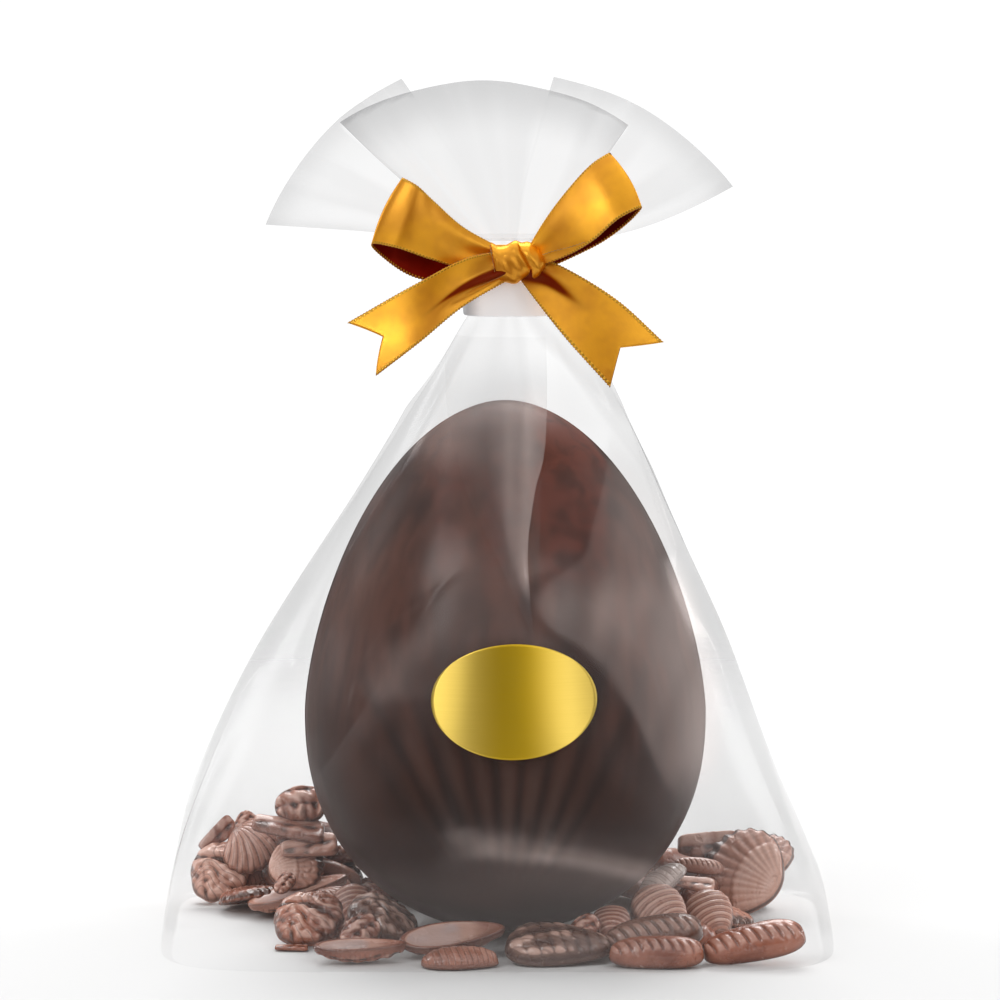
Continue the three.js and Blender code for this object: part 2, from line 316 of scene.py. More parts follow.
def grid_faces(rows, columns, closed=False, start=0):
    """Quads of a grid of points, rows by columns, joined round the columns if closed."""
    last = columns if closed else columns - 1
    row, column = np.meshgrid(np.arange(rows - 1), np.arange(last), indexing="ij")
    beside = (column + 1) % columns
    a, b = row * columns + column, row * columns + beside
    return (np.stack([a, b, b + columns, a + columns], -1).reshape(-1, 4) + start).tolist()


def joined(parts):
    """The points and faces of several meshes, as those of one."""
    points, faces, start = [], [], 0
    for part_points, part_faces in parts:
        points.append(part_points)
        faces += [[i + start for i in face] for face in part_faces]
        start += len(part_points)
    return np.concatenate(points), faces


def finish_piece(obj, material, slot, *replaced):
    """Rides the piece on the one body, with its material, and hides what it replaces; the slot is not used.
    """
    for m in material if isinstance(material, list) else [material]:
        obj.data.materials.append(m)
    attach(obj, "root")
    if replaced:
        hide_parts(*replaced)


def film_piece(name, points, faces, material, veil):
    """A piece of clear film, which lets light through to what is inside and beneath it."""
    obj = mesh_object(name, points, faces)
    point_value(obj, "veil", veil)
    obj.visible_shadow = False
    obj.visible_diffuse = False
    finish_piece(obj, material, "film", "bag")
    return obj


def add_thickness(obj, thickness, material_offset=0, rim_offset=0):
    bpy.context.view_layer.objects.active = obj
    solidify = obj.modifiers.new("thickness", "SOLIDIFY")
    solidify.thickness = thickness * MM
    solidify.offset = 0
    solidify.use_even_offset = False
    solidify.material_offset = material_offset
    solidify.material_offset_rim = rim_offset
    bpy.ops.object.modifier_apply(modifier=solidify.name)


# ---------------------------------------------------------------- materials, whose nodes measure in metres

class Tree:
    """Short calls for making the nodes of a tree."""

    def __init__(self, tree):
        self.tree = tree
        self.coordinates = tree.nodes.new("ShaderNodeTexCoord").outputs

    def put(self, value, target):
        """Links a socket, or sets a number, a vector or an opaque colour."""
        if isinstance(value, bpy.types.NodeSocket):
            self.tree.links.new(value, target)
        else:
            target.default_value = (*value, 1) if target.type == "RGBA" else value

    def add(self, kind, inputs=None, **settings):
        node = self.tree.nodes.new(kind)
        for name, value in settings.items():
            setattr(node, name, value)
        for key, value in (inputs or {}).items():
            self.put(value, node.inputs[key])
        return node

    def axes(self, vector):
        return self.add("ShaderNodeSeparateXYZ", {0: vector}).outputs

    def stretched(self, scale, source="Object"):
        inputs = {"Vector": self.coordinates[source], "Scale": scale}
        return self.add("ShaderNodeMapping", inputs).outputs[0]

    def noise(self, scale, detail=4, vector=None, roughness=0.55, distortion=0.0):
        inputs = {"Scale": scale, "Detail": detail, "Roughness": roughness, "Distortion": distortion,
                  "Vector": vector or self.coordinates["Object"]}
        return self.add("ShaderNodeTexNoise", inputs).outputs["Fac"]

    def bands(self, vector, direction, scale, distortion, detail=2.0):
        inputs = {"Vector": vector, "Scale": scale, "Distortion": distortion, "Detail": detail}
        node = self.add("ShaderNodeTexWave", inputs, wave_type="BANDS", bands_direction=direction)
        return node.outputs["Fac"]

    def math(self, operation, a, b=0.0, clamp=False):
        return self.add("ShaderNodeMath", {0: a, 1: b}, operation=operation, use_clamp=clamp).outputs[0]

    def times(self, first, *others):
        for other in others:
            first = self.math("MULTIPLY", first, other)
        return first

    def plus(self, first, *others):
        for other in others:
            first = self.math("ADD", first, other)
        return first

    def ramp(self, value, low, high, to_low=0.0, to_high=1.0, smooth=True):
        inputs = {"Value": value, "From Min": low, "From Max": high, "To Min": to_low, "To Max": to_high}
        kind = "SMOOTHSTEP" if smooth else "LINEAR"
        return self.add("ShaderNodeMapRange", inputs, interpolation_type=kind).outputs["Result"]

    def blend(self, share, first, second):
        return self.add("ShaderNodeMix", {0: share, 6: first, 7: second}, data_type="RGBA").outputs[2]

    def layers(self, tone, *layers):
        """Colours laid over a tone one by one, each with its share."""
        for share, colour in layers:
            tone = self.blend(share, tone, colour)
        return tone


class Material(Tree):
    """A material with a Principled shader."""

    def __init__(self, name):
        self.material = bpy.data.materials.new(name)
        self.material.use_nodes = True
        self.shader = self.material.node_tree.nodes["Principled BSDF"]
        super().__init__(self.material.node_tree)

    def set(self, **sockets):
        """Plain values of the shader's own sockets, or what drives them."""
        for name, value in sockets.items():
            self.put(value, self.shader.inputs[name.replace("_", " ")])

    def value(self, name):
        """A number that each point of the piece keeps."""
        return self.add("ShaderNodeAttribute", attribute_name=name).outputs["Fac"]

    def bump(self, height, strength, distance, under=None):
        inputs = {"Height": height, "Strength": strength, "Distance": distance * MM}
        if under is not None:
            inputs["Normal"] = under
        return self.add("ShaderNodeBump", inputs).outputs["Normal"]

    def tangent(self):
        return self.add("ShaderNodeTangent", direction_type="UV_MAP").outputs[0]


def film_material(name, plain, veiled, alpha, veil_alpha):
    """Clear film: nearly see-through face on, greyer where it is doubled, and less clear where a point's kept
    value is high. There it takes its second colour, which on the bag's film is a pale painted reflection.
    """
    n = Material(name)
    veil = n.value("veil")
    facing = n.add("ShaderNodeLayerWeight", {"Blend": 0.5}).outputs["Facing"]
    rim = n.math("POWER", facing, 2.2)
    streaks = n.ramp(n.noise(1.0, 2, n.stretched((26, 26, 5)), distortion=0.4), 0.5, 0.75, 0, 0.035)
    cloud = n.ramp(n.noise(13, 1), 0.3, 0.75, 0, 0.035)
    total = n.plus(n.times(rim, RIM_ALPHA), alpha, streaks, cloud, n.times(n.value("doubled"), 0.16))
    wrinkles = n.noise(22, 1, n.stretched((1, 1, 0.3)))
    n.set(
        Metallic=0.15, Roughness=0.2, IOR=1.5,
        # On the bag's film the second colour is a pale painted reflection; on the fans it is a darker grey.
        Base_Color=n.blend(n.ramp(veil, 0.0, 0.6, smooth=False), plain, veiled),
        Alpha=n.math("ADD", total, n.times(veil, veil_alpha), clamp=True),
        Normal=n.bump(wrinkles, 0.3, 1.0),
    )
    return n.material


# Painted warm light on the egg's face, in patches: left, right, lowest and highest point in millimetres, and
# share.
PAINTED_WARM_LIGHT = [
    (11.0, 30.0, 100, 200, 0.85),
    (-17.5, -8.0, 104, 146, 0.42),
    (-4.0, 3.5, 98, 142, 0.45),
]


def dark_chocolate_material():
    """Dark chocolate, streaked upwards, with painted shade towards the bottom, painted warm light in patches
    on its upper face, and painted highlight on the moulded ribs with painted shade between them.
    """
    n = Material("dark_chocolate")
    rib, place = n.value("rib"), n.axes(n.coordinates["Object"])
    height = place["Z"]
    broad = n.noise(1.0, 3, n.stretched((46, 46, 13)), distortion=0.3)
    fine = n.noise(1.0, 4, n.stretched((260, 260, 24)))
    tone = n.blend(n.ramp(broad, 0.40, 0.60), (0.026, 0.0090, 0.0062), (0.078, 0.0290, 0.0195))
    tone = n.layers(
        tone,
        (n.ramp(fine, 0.35, 0.70, 0, 0.5), (0.024, 0.0085, 0.0062)),
        (n.ramp(n.noise(19, 5), 0.52, 0.72, 0, 0.5), (0.090, 0.044, 0.033)),
        # Painted shade: darker towards the bottom.
        (n.ramp(height, 0.094, 0.030, 0, 0.80), (0.0145, 0.0066, 0.0052)),
        # Painted highlight on the ribs' crests and painted shade in their grooves.
        (n.ramp(rib, 0.0, 1.0, 0, 0.45), (0.062, 0.034, 0.026)),
        (n.ramp(rib, 0.1, -1.0, 0, 0.62), (0.0065, 0.0032, 0.0028)),
    )
    waver = n.math("SUBTRACT", n.noise(1.0, 3, n.stretched((80, 80, 14))), 0.5)
    across = n.plus(place["X"], n.times(waver, 0.012))
    mottle = n.ramp(n.noise(1.0, 4, n.stretched((110, 110, 150)), distortion=0.6), 0.34, 0.60, 0.40, 1.0)
    # Painted warm light: redder, paler patches on the upper face.
    for left, right, bottom, top, share in PAINTED_WARM_LIGHT:
        inside = n.times(
            n.ramp(across, (left - 2) * MM, (left + 2) * MM),
            n.ramp(across, (right + 2) * MM, (right - 2) * MM),
            n.ramp(height, bottom * MM, (bottom + 18) * MM),
            n.ramp(height, top * MM, (top - 14) * MM),
        )
        tone = n.blend(n.times(inside, mottle, share), tone, (0.115, 0.028, 0.017))
    stains = n.ramp(n.noise(1.0, 3, n.stretched((34, 34, 20)), distortion=0.5), 0.55, 0.68, 0, 0.6)
    n.set(
        IOR=1.46, Specular_IOR_Level=0.25, Specular_Tint=(1.0, 0.56, 0.42),
        Base_Color=n.blend(stains, tone, (0.022, 0.0085, 0.0060)),
        Roughness=n.ramp(n.noise(40, 4), 0.3, 0.7, 0.42, 0.56),
        Normal=n.bump(broad, 0.25, 0.3, n.bump(fine, 0.15, 0.08)),
    )
    return n.material


def milk_chocolate_material():
    """Milk chocolate, finely lined, with painted highlight on the moulded ridges and painted shade in the
    grooves, the fine lines and down the wall, with a whitish bloom on the flat backs; each piece has its own
    tone."""
    n = Material("milk_chocolate")
    own, ridge = n.value("tone"), n.value("ridge")
    fine = n.ramp(n.math("ABSOLUTE", n.math("SINE", n.times(n.value("lines"), math.pi))), 0.0, 0.75)
    cloud = n.noise(70, 5, roughness=0.65)
    patches = n.ramp(n.noise(80, 4), 0.38, 0.60, 0.55, 1.0)
    tone = n.blend(n.ramp(cloud, 0.35, 0.65), (0.195, 0.054, 0.028), (0.370, 0.132, 0.078))
    tone = n.layers(
        tone,
        (n.ramp(own, 0.5, 1.0, 0, 0.65), (0.640, 0.350, 0.265)),
        (n.ramp(own, 0.45, 0.0, 0, 0.8), (0.110, 0.066, 0.050)),
        (n.ramp(own, 0.0, -1.0), (0.600, 0.485, 0.440)),
        # Painted highlight on the crests, and painted shade in the fine lines, in the grooves and down the
        # wall.
        (n.ramp(ridge, 0.1, 1.0, 0, 0.6), (0.760, 0.490, 0.400)),
        (n.ramp(fine, 0.7, 0.0, 0, 0.42), (0.075, 0.024, 0.013)),
        (n.ramp(ridge, 0.0, -0.9, 0, 0.85), (0.048, 0.014, 0.007)),
        (n.times(n.ramp(ridge, 1.3, 1.9), patches), (0.520, 0.390, 0.365)),
        (n.ramp(n.noise(420, 4, roughness=0.7), 0.60, 0.72, 0, 0.5), (0.560, 0.380, 0.310)),
    )
    pits = n.ramp(n.noise(260, 2), 0.62, 0.74, 0, 1)
    height = n.math("SUBTRACT", n.noise(300, 4), pits)
    n.set(
        IOR=1.5, Specular_IOR_Level=0.8,
        Base_Color=tone,
        Roughness=n.ramp(n.noise(90, 4), 0.3, 0.7, 0.16, 0.34),
        Normal=n.bump(fine, 0.6, 0.12, n.bump(height, 0.6, 0.45)),
    )
    return n.material


def satin_material(name, shade, deep, glow):
    """Woven satin: the fine warp runs along the ribbon, so that its highlights spread across it."""
    n = Material(name)
    uv, fold, edge = n.coordinates["UV"], n.value("fold"), n.value("edge")
    weave = n.times(n.bands(uv, "X", 900.0, 0.6, detail=1.0), n.bands(uv, "Y", 1400.0, 0.4))
    slubs = n.noise(1.0, 3, n.stretched((2600, 900, 1), "UV"))
    beads = n.ramp(n.math("SINE", n.times(n.axes(uv)["Y"], 2 * math.pi / (BEAD_PITCH * MM))), -0.2, 0.6)
    stitched = n.times(n.ramp(edge, 0.10, 0.25), n.ramp(edge, 0.75, 0.55))
    tone = n.blend(n.ramp(n.noise(70, 3), 0.35, 0.65), deep, shade)
    tone = n.layers(
        tone,
        (n.ramp(slubs, 0.4, 0.7, 0, 0.12), deep),
        (n.times(stitched, 0.7), n.blend(beads, (0.13, 0.030, 0.002), (0.82, 0.42, 0.04))),
        # Painted shade: the fold is darkened to deep red, and loses its sheen.
        (fold, (0.13, 0.004, 0.0005)),
    )
    raised = n.bump(n.times(stitched, beads), 0.6, 0.25, n.bump(slubs, 0.05, 0.02))
    n.set(
        IOR=2.6, Specular_Tint=glow, Anisotropic=0.7,
        Base_Color=tone,
        Specular_IOR_Level=n.ramp(fold, 0, 0.8, 0.8, 0.03),
        Metallic=n.ramp(fold, 0, 0.8, 0.35, 0.0),
        Roughness=n.ramp(slubs, 0.3, 0.7, 0.29, 0.35),
        Tangent=n.tangent(),
        Normal=n.bump(weave, 0.2, 0.05, raised),
    )
    return n.material


def thread_material():
    n = Material("selvedge_thread")
    n.set(
        Roughness=0.5, Sheen_Weight=0.2,
        Base_Color=n.blend(n.ramp(n.noise(900, 2), 0.35, 0.65), (0.30, 0.12, 0.016), (0.62, 0.33, 0.05)),
        Normal=n.bump(n.noise(2000, 2), 0.3, 0.05),
    )
    return n.material


def band_material():
    """A pale band that glows a little with painted light, with painted shade at its left end under the bow.
    """
    n = Material("pale_band")
    tone = n.blend(n.ramp(n.noise(60, 3), 0.35, 0.65), (0.90, 0.91, 0.94), (0.96, 0.96, 0.97))
    # Painted shade at the band's left end.
    shaded_left_end = n.ramp(n.axes(n.coordinates["Object"])["X"], -0.0035, -0.0095)
    n.set(
        # Painted light: the band glows a little, though it is no lamp.
        IOR=1.5, Emission_Strength=0.18,
        Base_Color=n.blend(shaded_left_end, tone, (0.20, 0.20, 0.22)),
        Roughness=n.ramp(n.noise(200, 2), 0.3, 0.7, 0.24, 0.4),
        Normal=n.bump(n.noise(1.0, 3, n.stretched((150, 150, 900))), 0.2, 0.08),
    )
    return n.material


def foil_material():
    """Satin-finished gold foil, grained across so that its reflections run from top to bottom, with a painted
    reflection that makes it paler towards both sides.
    """
    n = Material("gold_foil")
    across = n.axes(n.coordinates["Object"])["X"]
    from_middle = n.math("ABSOLUTE", n.math("SUBTRACT", across, LABEL_X * MM))
    grain = n.noise(1.0, 2, n.stretched((30, 30, 2600)))
    # Painted reflection: paler gold towards both sides, deeper in the middle.
    tone = n.blend(n.ramp(from_middle, 0.002, 0.017), (0.64, 0.405, 0.020), (0.80, 0.575, 0.120))
    n.set(
        Metallic=1.0, Anisotropic=0.8, Anisotropic_Rotation=0.25,
        Base_Color=n.blend(n.ramp(grain, 0.3, 0.7, 0, 0.12), tone, (0.60, 0.40, 0.05)),
        Roughness=n.ramp(n.noise(30, 2), 0.3, 0.7, 0.36, 0.39),
        Tangent=n.tangent(),
        Normal=n.bump(grain, 0.01, 0.01),
    )
    return n.material


def edge_material():
    """The cut edge of the label, pale paper and glue."""
    n = Material("label_edge")
    tone = n.blend(n.ramp(n.noise(400, 2), 0.4, 0.6), (0.45, 0.33, 0.10), (0.6, 0.47, 0.2))
    n.set(Roughness=0.6, Base_Color=tone)
    return n.material


# ---------------------------------------------------------------- the film

# Lines on the film's front, as x against height: where it is folded, pulled tight or doubled.
PLEAT_LEFT = profile([
    (94.8, 9.4), (103.4, 5.5), (115.8, -0.5), (124.4, -5), (134.6, -9.5), (152, -14), (176, -15),
])
PLEAT_RIGHT = profile([
    (94.8, 10.0), (112.3, 8.5), (120.2, 8.6), (126.8, 9.5), (133.7, 10.8), (139.6, 12.6),
    (146.6, 13.5), (160, 13.9), (176, 13.4),
])
PULL_RIGHT = profile([
    (34.6, 56.3), (52.3, 46.6), (74.1, 36.3), (87.4, 27.1), (95.5, 16), (103, 11.5), (108, 14),
    (114, 23), (122, 26), (134.7, 29.5), (146, 31.5), (156, 31),
])
PULL_LEFT = profile([(46, -56), (57.8, -47.1), (78.4, -34.1), (91.6, -24.9), (107.5, -15.7), (114.4, -7.6)])
GUSSET_LEFT = profile([
    (70, -62), (105.4, -45.5), (122.2, -35.7), (133.3, -28.7), (144.3, -21.7), (155, -16.1), (175, -5.5),
])
FOLD_RIGHT = profile([(110, 50), (134.9, 40.6), (143.8, 34.4), (155.1, 25.9), (165.8, 18.1), (176, 13.5)])
# The lower edge of the slack film in front of the egg, as height against x.
SAG = profile([
    (-16, 60), (-14.6, 50), (-13.1, 42.9), (-10.3, 38.4), (-7.6, 37), (-2, 35.7), (6.2, 34.5),
    (17.3, 33.6), (26.1, 32.1), (34.6, 30.2), (42.2, 28.2), (56, 24.6),
])

# Tight folds of the front: line, height, spread, lowest and highest point.
TIGHT_FOLDS = [
    (GUSSET_LEFT, 1.5, 1.6, 78, 174),
    (FOLD_RIGHT, 1.9, 1.8, 108, 175),
    (PULL_RIGHT, 0.5, 2.2, 34, 103),
    (PULL_LEFT, 0.4, 1.8, 48, 114),
]

# Long creases in the film: angle at half height, slant, lowest and highest point, height and spread.
CREASES = [
    (-0.35, 0.05, 14, 96, 1.2, 5.0),
    (-2.90, -0.04, 10, 84, 1.6, 4.0),
    (0.55, -0.20, 40, 170, 2.2, 4.0),
    (1.25, 0.05, 70, 176, 1.8, 3.0),
    (1.95, 0.08, 50, 172, 1.8, 3.0),
    (2.60, 0.16, 30, 160, 2.2, 4.5),
]


def front_ridges(x, z):
    """How far the film's front stands out along its tight folds."""
    ridge = 0
    for line, height, spread, start, end in TIGHT_FOLDS:
        ridge = ridge + height * peak(x - line(z), spread) * between(z, start, end)
    return ridge + 0.3 * hill(z - SAG(x), 2.4) * ease(-6, 4, x)


def sag_glare(x, z, streaks, drawn):
    """A painted highlight along the edge of the slack film, with painted rays of light that run out from it.
    """
    off = (z - SAG(x)) / np.hypot(1, SAG(x + 0.5) - SAG(x - 0.5))
    sag = ease(-4.8, -0.3, off) * ease(5.5, 0.3, off) + 0.35 * hill(off, 9)
    sag = sag * ease(-22, -3, x) * ease(62, 44, x)
    rays = np.clip(streaks + 0.2, 0, 1) * ease(15, 0, off) * ease(-6, 0, off)
    return 0.33 * sag * (1 + 0.06 * drawn) + 0.10 * rays * ease(-17, -10, x) * ease(34, 12, x)


def film_glare_and_clearing(x, y, z):
    """Painted reflection on the film, whiter along its tight folds and over the egg, with a painted highlight
    along the slack film's edge; below 0 the film is clearer, as at its base and over the heap.
    """
    right, left = x - PULL_RIGHT(z), PULL_LEFT(z) - x
    over_egg = ease(-1, 3, egg_radius(z - 4) - np.abs(x - EGG_X)) * (z < 156)
    on_egg = ease(-7, 3, egg_radius(z - 6) - np.abs(x - EGG_X))
    veil = (0.33 * ease(-3, 2.5, right) + 0.17 * ease(2, 20, right)) * between(z, 42, 162, 18) * on_egg
    veil *= 1 - 0.4 * ease(100, 112, z)
    veil += 0.17 * hill(left + 1.0, 6.5) * between(z, 46, 106, 22)
    veil += 0.17 * ease(-38, -16, x) * ease(0, -12, right) * between(z, 82, 124, 14)
    veil += 0.12 * hill(x + 25, 9) * hill(z - 77, 10)
    veil += (0.03 + 0.25 * ease(134, 144, z)) * ease(14, 8, x) * ease(106, 120, z) * over_egg
    fanned = np.arctan2(x - EGG_X, z - SHELL_ORIGIN_Z)
    streaks = waves(26 * fanned, z / 90, seed=31, count=9, low=0.8, high=2.6)
    drawn = waves(60 * fanned, z / 40, seed=32, count=11, low=0.7, high=2.2)
    veil *= 1 + 0.10 * streaks + 0.10 * drawn
    veil += sag_glare(x, z, streaks, drawn)
    veil += 0.13 * ease(35, 25, z) * ease(52, 40, np.abs(x))
    clearer = 0.28 * between(z, 38, 80, 10) * ease(1, -2, right)
    clearer = clearer + 0.25 * between(z, 112, 150, 8) * (x > 12) * ease(1, -1, right)
    clearer = clearer + 0.34 * between(z, 88, 146, 12) * ease(-16, -28, x) * on_egg
    veil = (np.clip(veil, 0, 1) - clearer) * ease(0.05, 0.40, -y / depth_at(z))
    veil -= 0.5 * ease(40, 22, z) * ease(46, 58, np.abs(x)) * (y < 0)
    veil -= 0.33 * ease(150, 166, z)
    return np.where(z < 0.4, -0.9, veil)


def film_doubled(x, y, z):
    """Where the film is greyer: folded double along the sides and at the gathered neck."""
    left = ease(1.2, -0.8, x - GUSSET_LEFT(z)) * between(z, 80, 179, 14)
    right = ease(-0.8, 1.2, x - FOLD_RIGHT(z)) * between(z, 100, 179, 14)
    across, down = x - WEDGE_X, WEDGE_TOP_Z - z
    wedge = ease(-1.5, 3.0, across - 0.12 * down) * ease(2.5, -3.5, across - 1.1 * down)
    grey = 0.75 * left * ease(86, 140, z) + 0.45 * right - 0.85 * wedge * between(z, 132, 178, 16)
    grey += 0.08 * between(z, 138, 178, 12) * ease(8, 0, x)
    grey += np.where(x < 0, 0.25, 0.40) * ease(46, 56, np.abs(x)) * between(z, 20, 110)
    out = np.abs((x - lean_profile(z)) / side_profile(z))
    grey += 0.5 * ease(0.80, 1.0, out) * between(z, 20, 150, 20) * (x < 0)
    gathers = waves(np.arctan2(y, x - NECK_X) * 9, z / 60, seed=33, count=7, low=0.8, high=2.2)
    grey += 0.22 * ease(152, 172, z) * gathers
    return grey * ease(-0.10, 0.10, -y / depth_at(z))


def film_point(angle, z):
    """A point of the film's body: the bag's outline, with its creases, pleats and side gussets."""
    x, y = rounded_box(side_profile(z), depth_at(z), square_profile(z), angle)
    lean = lean_profile(z)
    calm = 1 - np.exp(-(((x + lean - LABEL_X) / 30) ** 4 + ((z - LABEL_Z) / 21) ** 4)) * (y < 0)
    width = np.hypot(x, y)
    gather = ease(126, 174, z)
    pleats = np.abs(np.sin(4.5 * angle + 0.8 * np.sin(3 * angle) + 0.012 * z)) ** 0.9 - 0.6
    push = 0.9 * gather * (1 - 0.5 * ease(168, 178, z)) * pleats
    billow = waves(3 * np.cos(angle), 3 * np.sin(angle), z / 26, seed=5, count=9, low=0.7, high=1.9)
    push = push + 0.8 * np.clip(billow, -0.8, 2) * ease(3, 14, z) * calm * (1 - 0.7 * gather)
    for centre, slant, start, end, height, spread in CREASES:
        where = centre + slant * (z - 100) / 100
        off = ((angle - where + np.pi) % (2 * np.pi) - np.pi) * width
        push = push + height * between(z, start, end, 12) * peak(off, spread) * calm
    push = push + front_ridges(x + lean, z) * (y < 0) * calm
    gusset = 1.2 * ease(84, 150, z) * (1 - ease(160, 176, z))
    push = push - gusset * hill(y, 5.5) * (np.abs(x) > np.abs(y))
    push = np.where(z > BODY_TOP_Z, np.minimum(push, 0.1), push)
    room = width - egg_radius(z) - PART_GAP
    push = np.maximum(push, -np.clip(room, 0, None))
    scale = 1 + push / np.maximum(width, 1e-6)
    return xyz(x * scale + lean, y * scale, z)


def film_body(material):
    """The bag's film, from its flat base and rounded foot up to the top of the neck."""
    around, rise = 420, 200
    heights = np.r_[0.15, 0.5, 1.2, 2.2, 3.2, np.linspace(BASE_RADIUS, NECK_TOP_Z, rise)]
    points = film_point(once_round(around)[None, :], heights[:, None])
    foot = np.clip(points[..., 2], 0, FOOT_BLEND)
    points[..., 2] += np.interp(foot, (0, BASE_RADIUS, FOOT_BLEND), (0, FOOT_RADIUS, FOOT_BLEND)) - foot
    flat = [points[0] * (s, s, 1) for s in (0.25, 0.5, 0.75, 0.9)]
    points = np.concatenate([np.stack(flat), points])
    faces = grid_faces(len(points), around, closed=True)
    faces.append(list(range(around))[::-1])
    places = points[..., 0], points[..., 1], points[..., 2]
    # The film's painted reflection, and where it is clearer.
    obj = film_piece("film_bag", points, faces, material, film_glare_and_clearing(*places))
    point_value(obj, "doubled", film_doubled(*places))


def film_pleat(material):
    """The fold of spare film that lies on the front, from the neck down over the top of the egg."""
    rows, columns = 150, 60
    z, share = np.linspace(PLEAT_BOTTOM_Z, PLEAT_TOP_Z, rows)[:, None], np.linspace(0, 1, columns)
    x = mix((PLEAT_LEFT(z), PLEAT_RIGHT(z)), share)
    y = bag_front(x, z) - PLEAT_GAP - 0.5 * ease(0.75, 1, share)
    drawn = waves(x / 1.6, z / 60, seed=34, count=9, low=0.6, high=2.4)
    fade = ease(0, 0.85, share) ** 0.8 * ease(PLEAT_BOTTOM_Z, 111, z) * ease(171, 152, z)
    # Painted highlight on the pleat, whiter towards its right side and its middle height, and clearer where
    # it fades.
    veil = (1.0 + 0.10 * drawn) * fade - 0.52
    film_piece("film_pleat", xyz(x, y, z), grid_faces(rows, columns), material, veil)


def fan_rim(radii, dip, share):
    """How far a fan reaches from its middle, which dips between its two ends."""
    return mix(radii, share) - 4 * dip * share * (1 - share)


def fan_points(angles, radii, dip, droop, root_x, root_y, rim_y, folds, depth, phase, seed):
    """One fan of film from the neck out to its rim, with folds that run out from the neck."""
    u, v = shares(FAN_COLUMNS, FAN_ROWS)
    angle, radius = np.radians(mix(angles, u)), fan_rim(radii, dip, u)
    root = xyz(NECK_X + mix(root_x, u), root_y, NECK_TOP_Z - 1.2)
    rim = xyz(FAN_X + radius * np.cos(angle), rim_y, FAN_Z + radius * np.sin(angle))
    leave = np.radians(mix(droop, u))
    bend = root + 0.35 * radius[..., None] * xyz(np.cos(leave), 0, np.sin(leave))
    w = v[..., None]
    points = root * (1 - w) ** 2 + 2 * bend * w * (1 - w) + rim * w * w
    points[..., 1] += depth * v * np.sin(2 * np.pi * (folds * u + phase))
    rng = np.random.default_rng(seed)
    for _ in range(9):
        centre, width = rng.uniform(0.02, 0.98), rng.uniform(0.012, 0.03)
        fade, height = rng.uniform(0.35, 1.0), rng.uniform(-1.3, 1.3)
        lean = rng.uniform(-0.05, 0.05)
        ridge = peak(u - centre - lean * v, width)
        points[..., 1] += height * ridge * ease(0, 0.25, v) * (1 - ease(fade, fade + 0.3, v))
    crinkle = waves(points[..., 0] / 9, points[..., 2] / 9, seed=seed, count=7, low=0.5, high=1.3)
    points[..., 1] += 0.5 * v * crinkle
    return points


FANS = {
    "film_fan_front": dict(angles=(139.5, 52.7), radii=(64.7, 52.2), dip=4.5, droop=(146, 46), root_x=(-8, 8),
                           root_y=-1.5, rim_y=-4.5, folds=2.5, depth=1.8, phase=0.1, seed=11),
    "film_fan_left": dict(angles=(171.1, 121.2), radii=(71.4, 61.8), dip=1, droop=(176, 118), root_x=(-9, -1),
                          root_y=1.5, rim_y=11, folds=1.5, depth=2, phase=0.35, seed=12),
    "film_fan_right": dict(angles=(78.6, 19.8), radii=(54.7, 65.3), dip=2.5, droop=(80, -8), root_x=(1, 9),
                           root_y=1.5, rim_y=9, folds=1.5, depth=2, phase=0.6, seed=13),
}


def behind_front_fan(points):
    """1 where a point lies behind the front fan, seen from the front and a little above, and 0 beside it."""
    front = FANS["film_fan_front"]
    across, up = points[..., 0] - FAN_X, points[..., 2] - FAN_Z + 0.16 * (points[..., 1] - front["rim_y"])
    angle, reach = np.degrees(np.arctan2(up, across)), np.hypot(across, up)
    start, end = front["angles"]
    share = np.clip((angle - start) / (end - start), 0, 1)
    inside = ease(0, -0.8, reach - fan_rim(front["radii"], front["dip"], share))
    return inside * ease(start + 1, start - 1, angle) * ease(end - 1, end + 1, angle)


def film_fans(material):
    u, v = shares(FAN_COLUMNS, FAN_ROWS)
    for name, shape in FANS.items():
        points = fan_points(**shape)
        front = name == "film_fan_front"
        edge = ease(0.66 if front else 0.86, 1.02, v) + 0.35 * ease(0.06, 0.0, u) + 0.35 * ease(0.94, 1.0, u)
        beams = waves(8 * u, 0.9 * v, seed=shape["seed"], count=8, low=1.2, high=3.4)
        veil = (1.5 - 0.4 * u if front else 0.8) * edge - 0.45 * np.clip(beams, 0, 1) * ease(1.0, 0.7, v)
        if not front:
            veil = veil - 1.6 * behind_front_fan(points)
        film_piece(name, points, grid_faces(FAN_ROWS, FAN_COLUMNS), material, veil)


# ---------------------------------------------------------------- the egg

def egg_relief(x, z):
    """The moulded scallop on the egg's two faces, shallow ribs that spread upwards to an arched step: how far
    it stands out, and how strongly a rib shows."""
    across, up = x - EGG_X, z - SHELL_ORIGIN_Z
    angle, reach = np.arctan2(across, up), np.hypot(across, up)
    aside = np.degrees(np.abs(angle))
    arch = (SHELL_RIM_Z - SHELL_ORIGIN_Z) * (1 - 0.42 * (aside / 35) ** 2.2)
    inside = ease(0.8, -0.8, reach - arch) * ease(36, 27, aside)
    fanned = np.arctan2(across, np.maximum(z - RIB_ORIGIN_Z, 1))
    number = fanned / RIB_ANGLE - 0.07 + 0.09 * waves(3 * angle, z / 30, seed=21, count=5, low=1.0, high=3.0)
    ribs = (0.5 + 0.5 * np.cos(2 * np.pi * number)) ** 0.8
    ribs = ribs * (0.85 + 0.22 * waves(9 * angle, z / 18, seed=22, count=7, low=1.0, high=3.0))
    step = SHELL_STEP * hill(reach - arch, 0.7) * ease(17, 11, aside)
    strength = ease(16, 34, z) * (0.4 + 0.6 * hill(z - 50, 22)) * ease(0.74, 0.42, np.abs(fanned))
    return inside * RIB_HEIGHT * ribs * strength - step, inside * (2.2 * ribs - 1.2) * strength


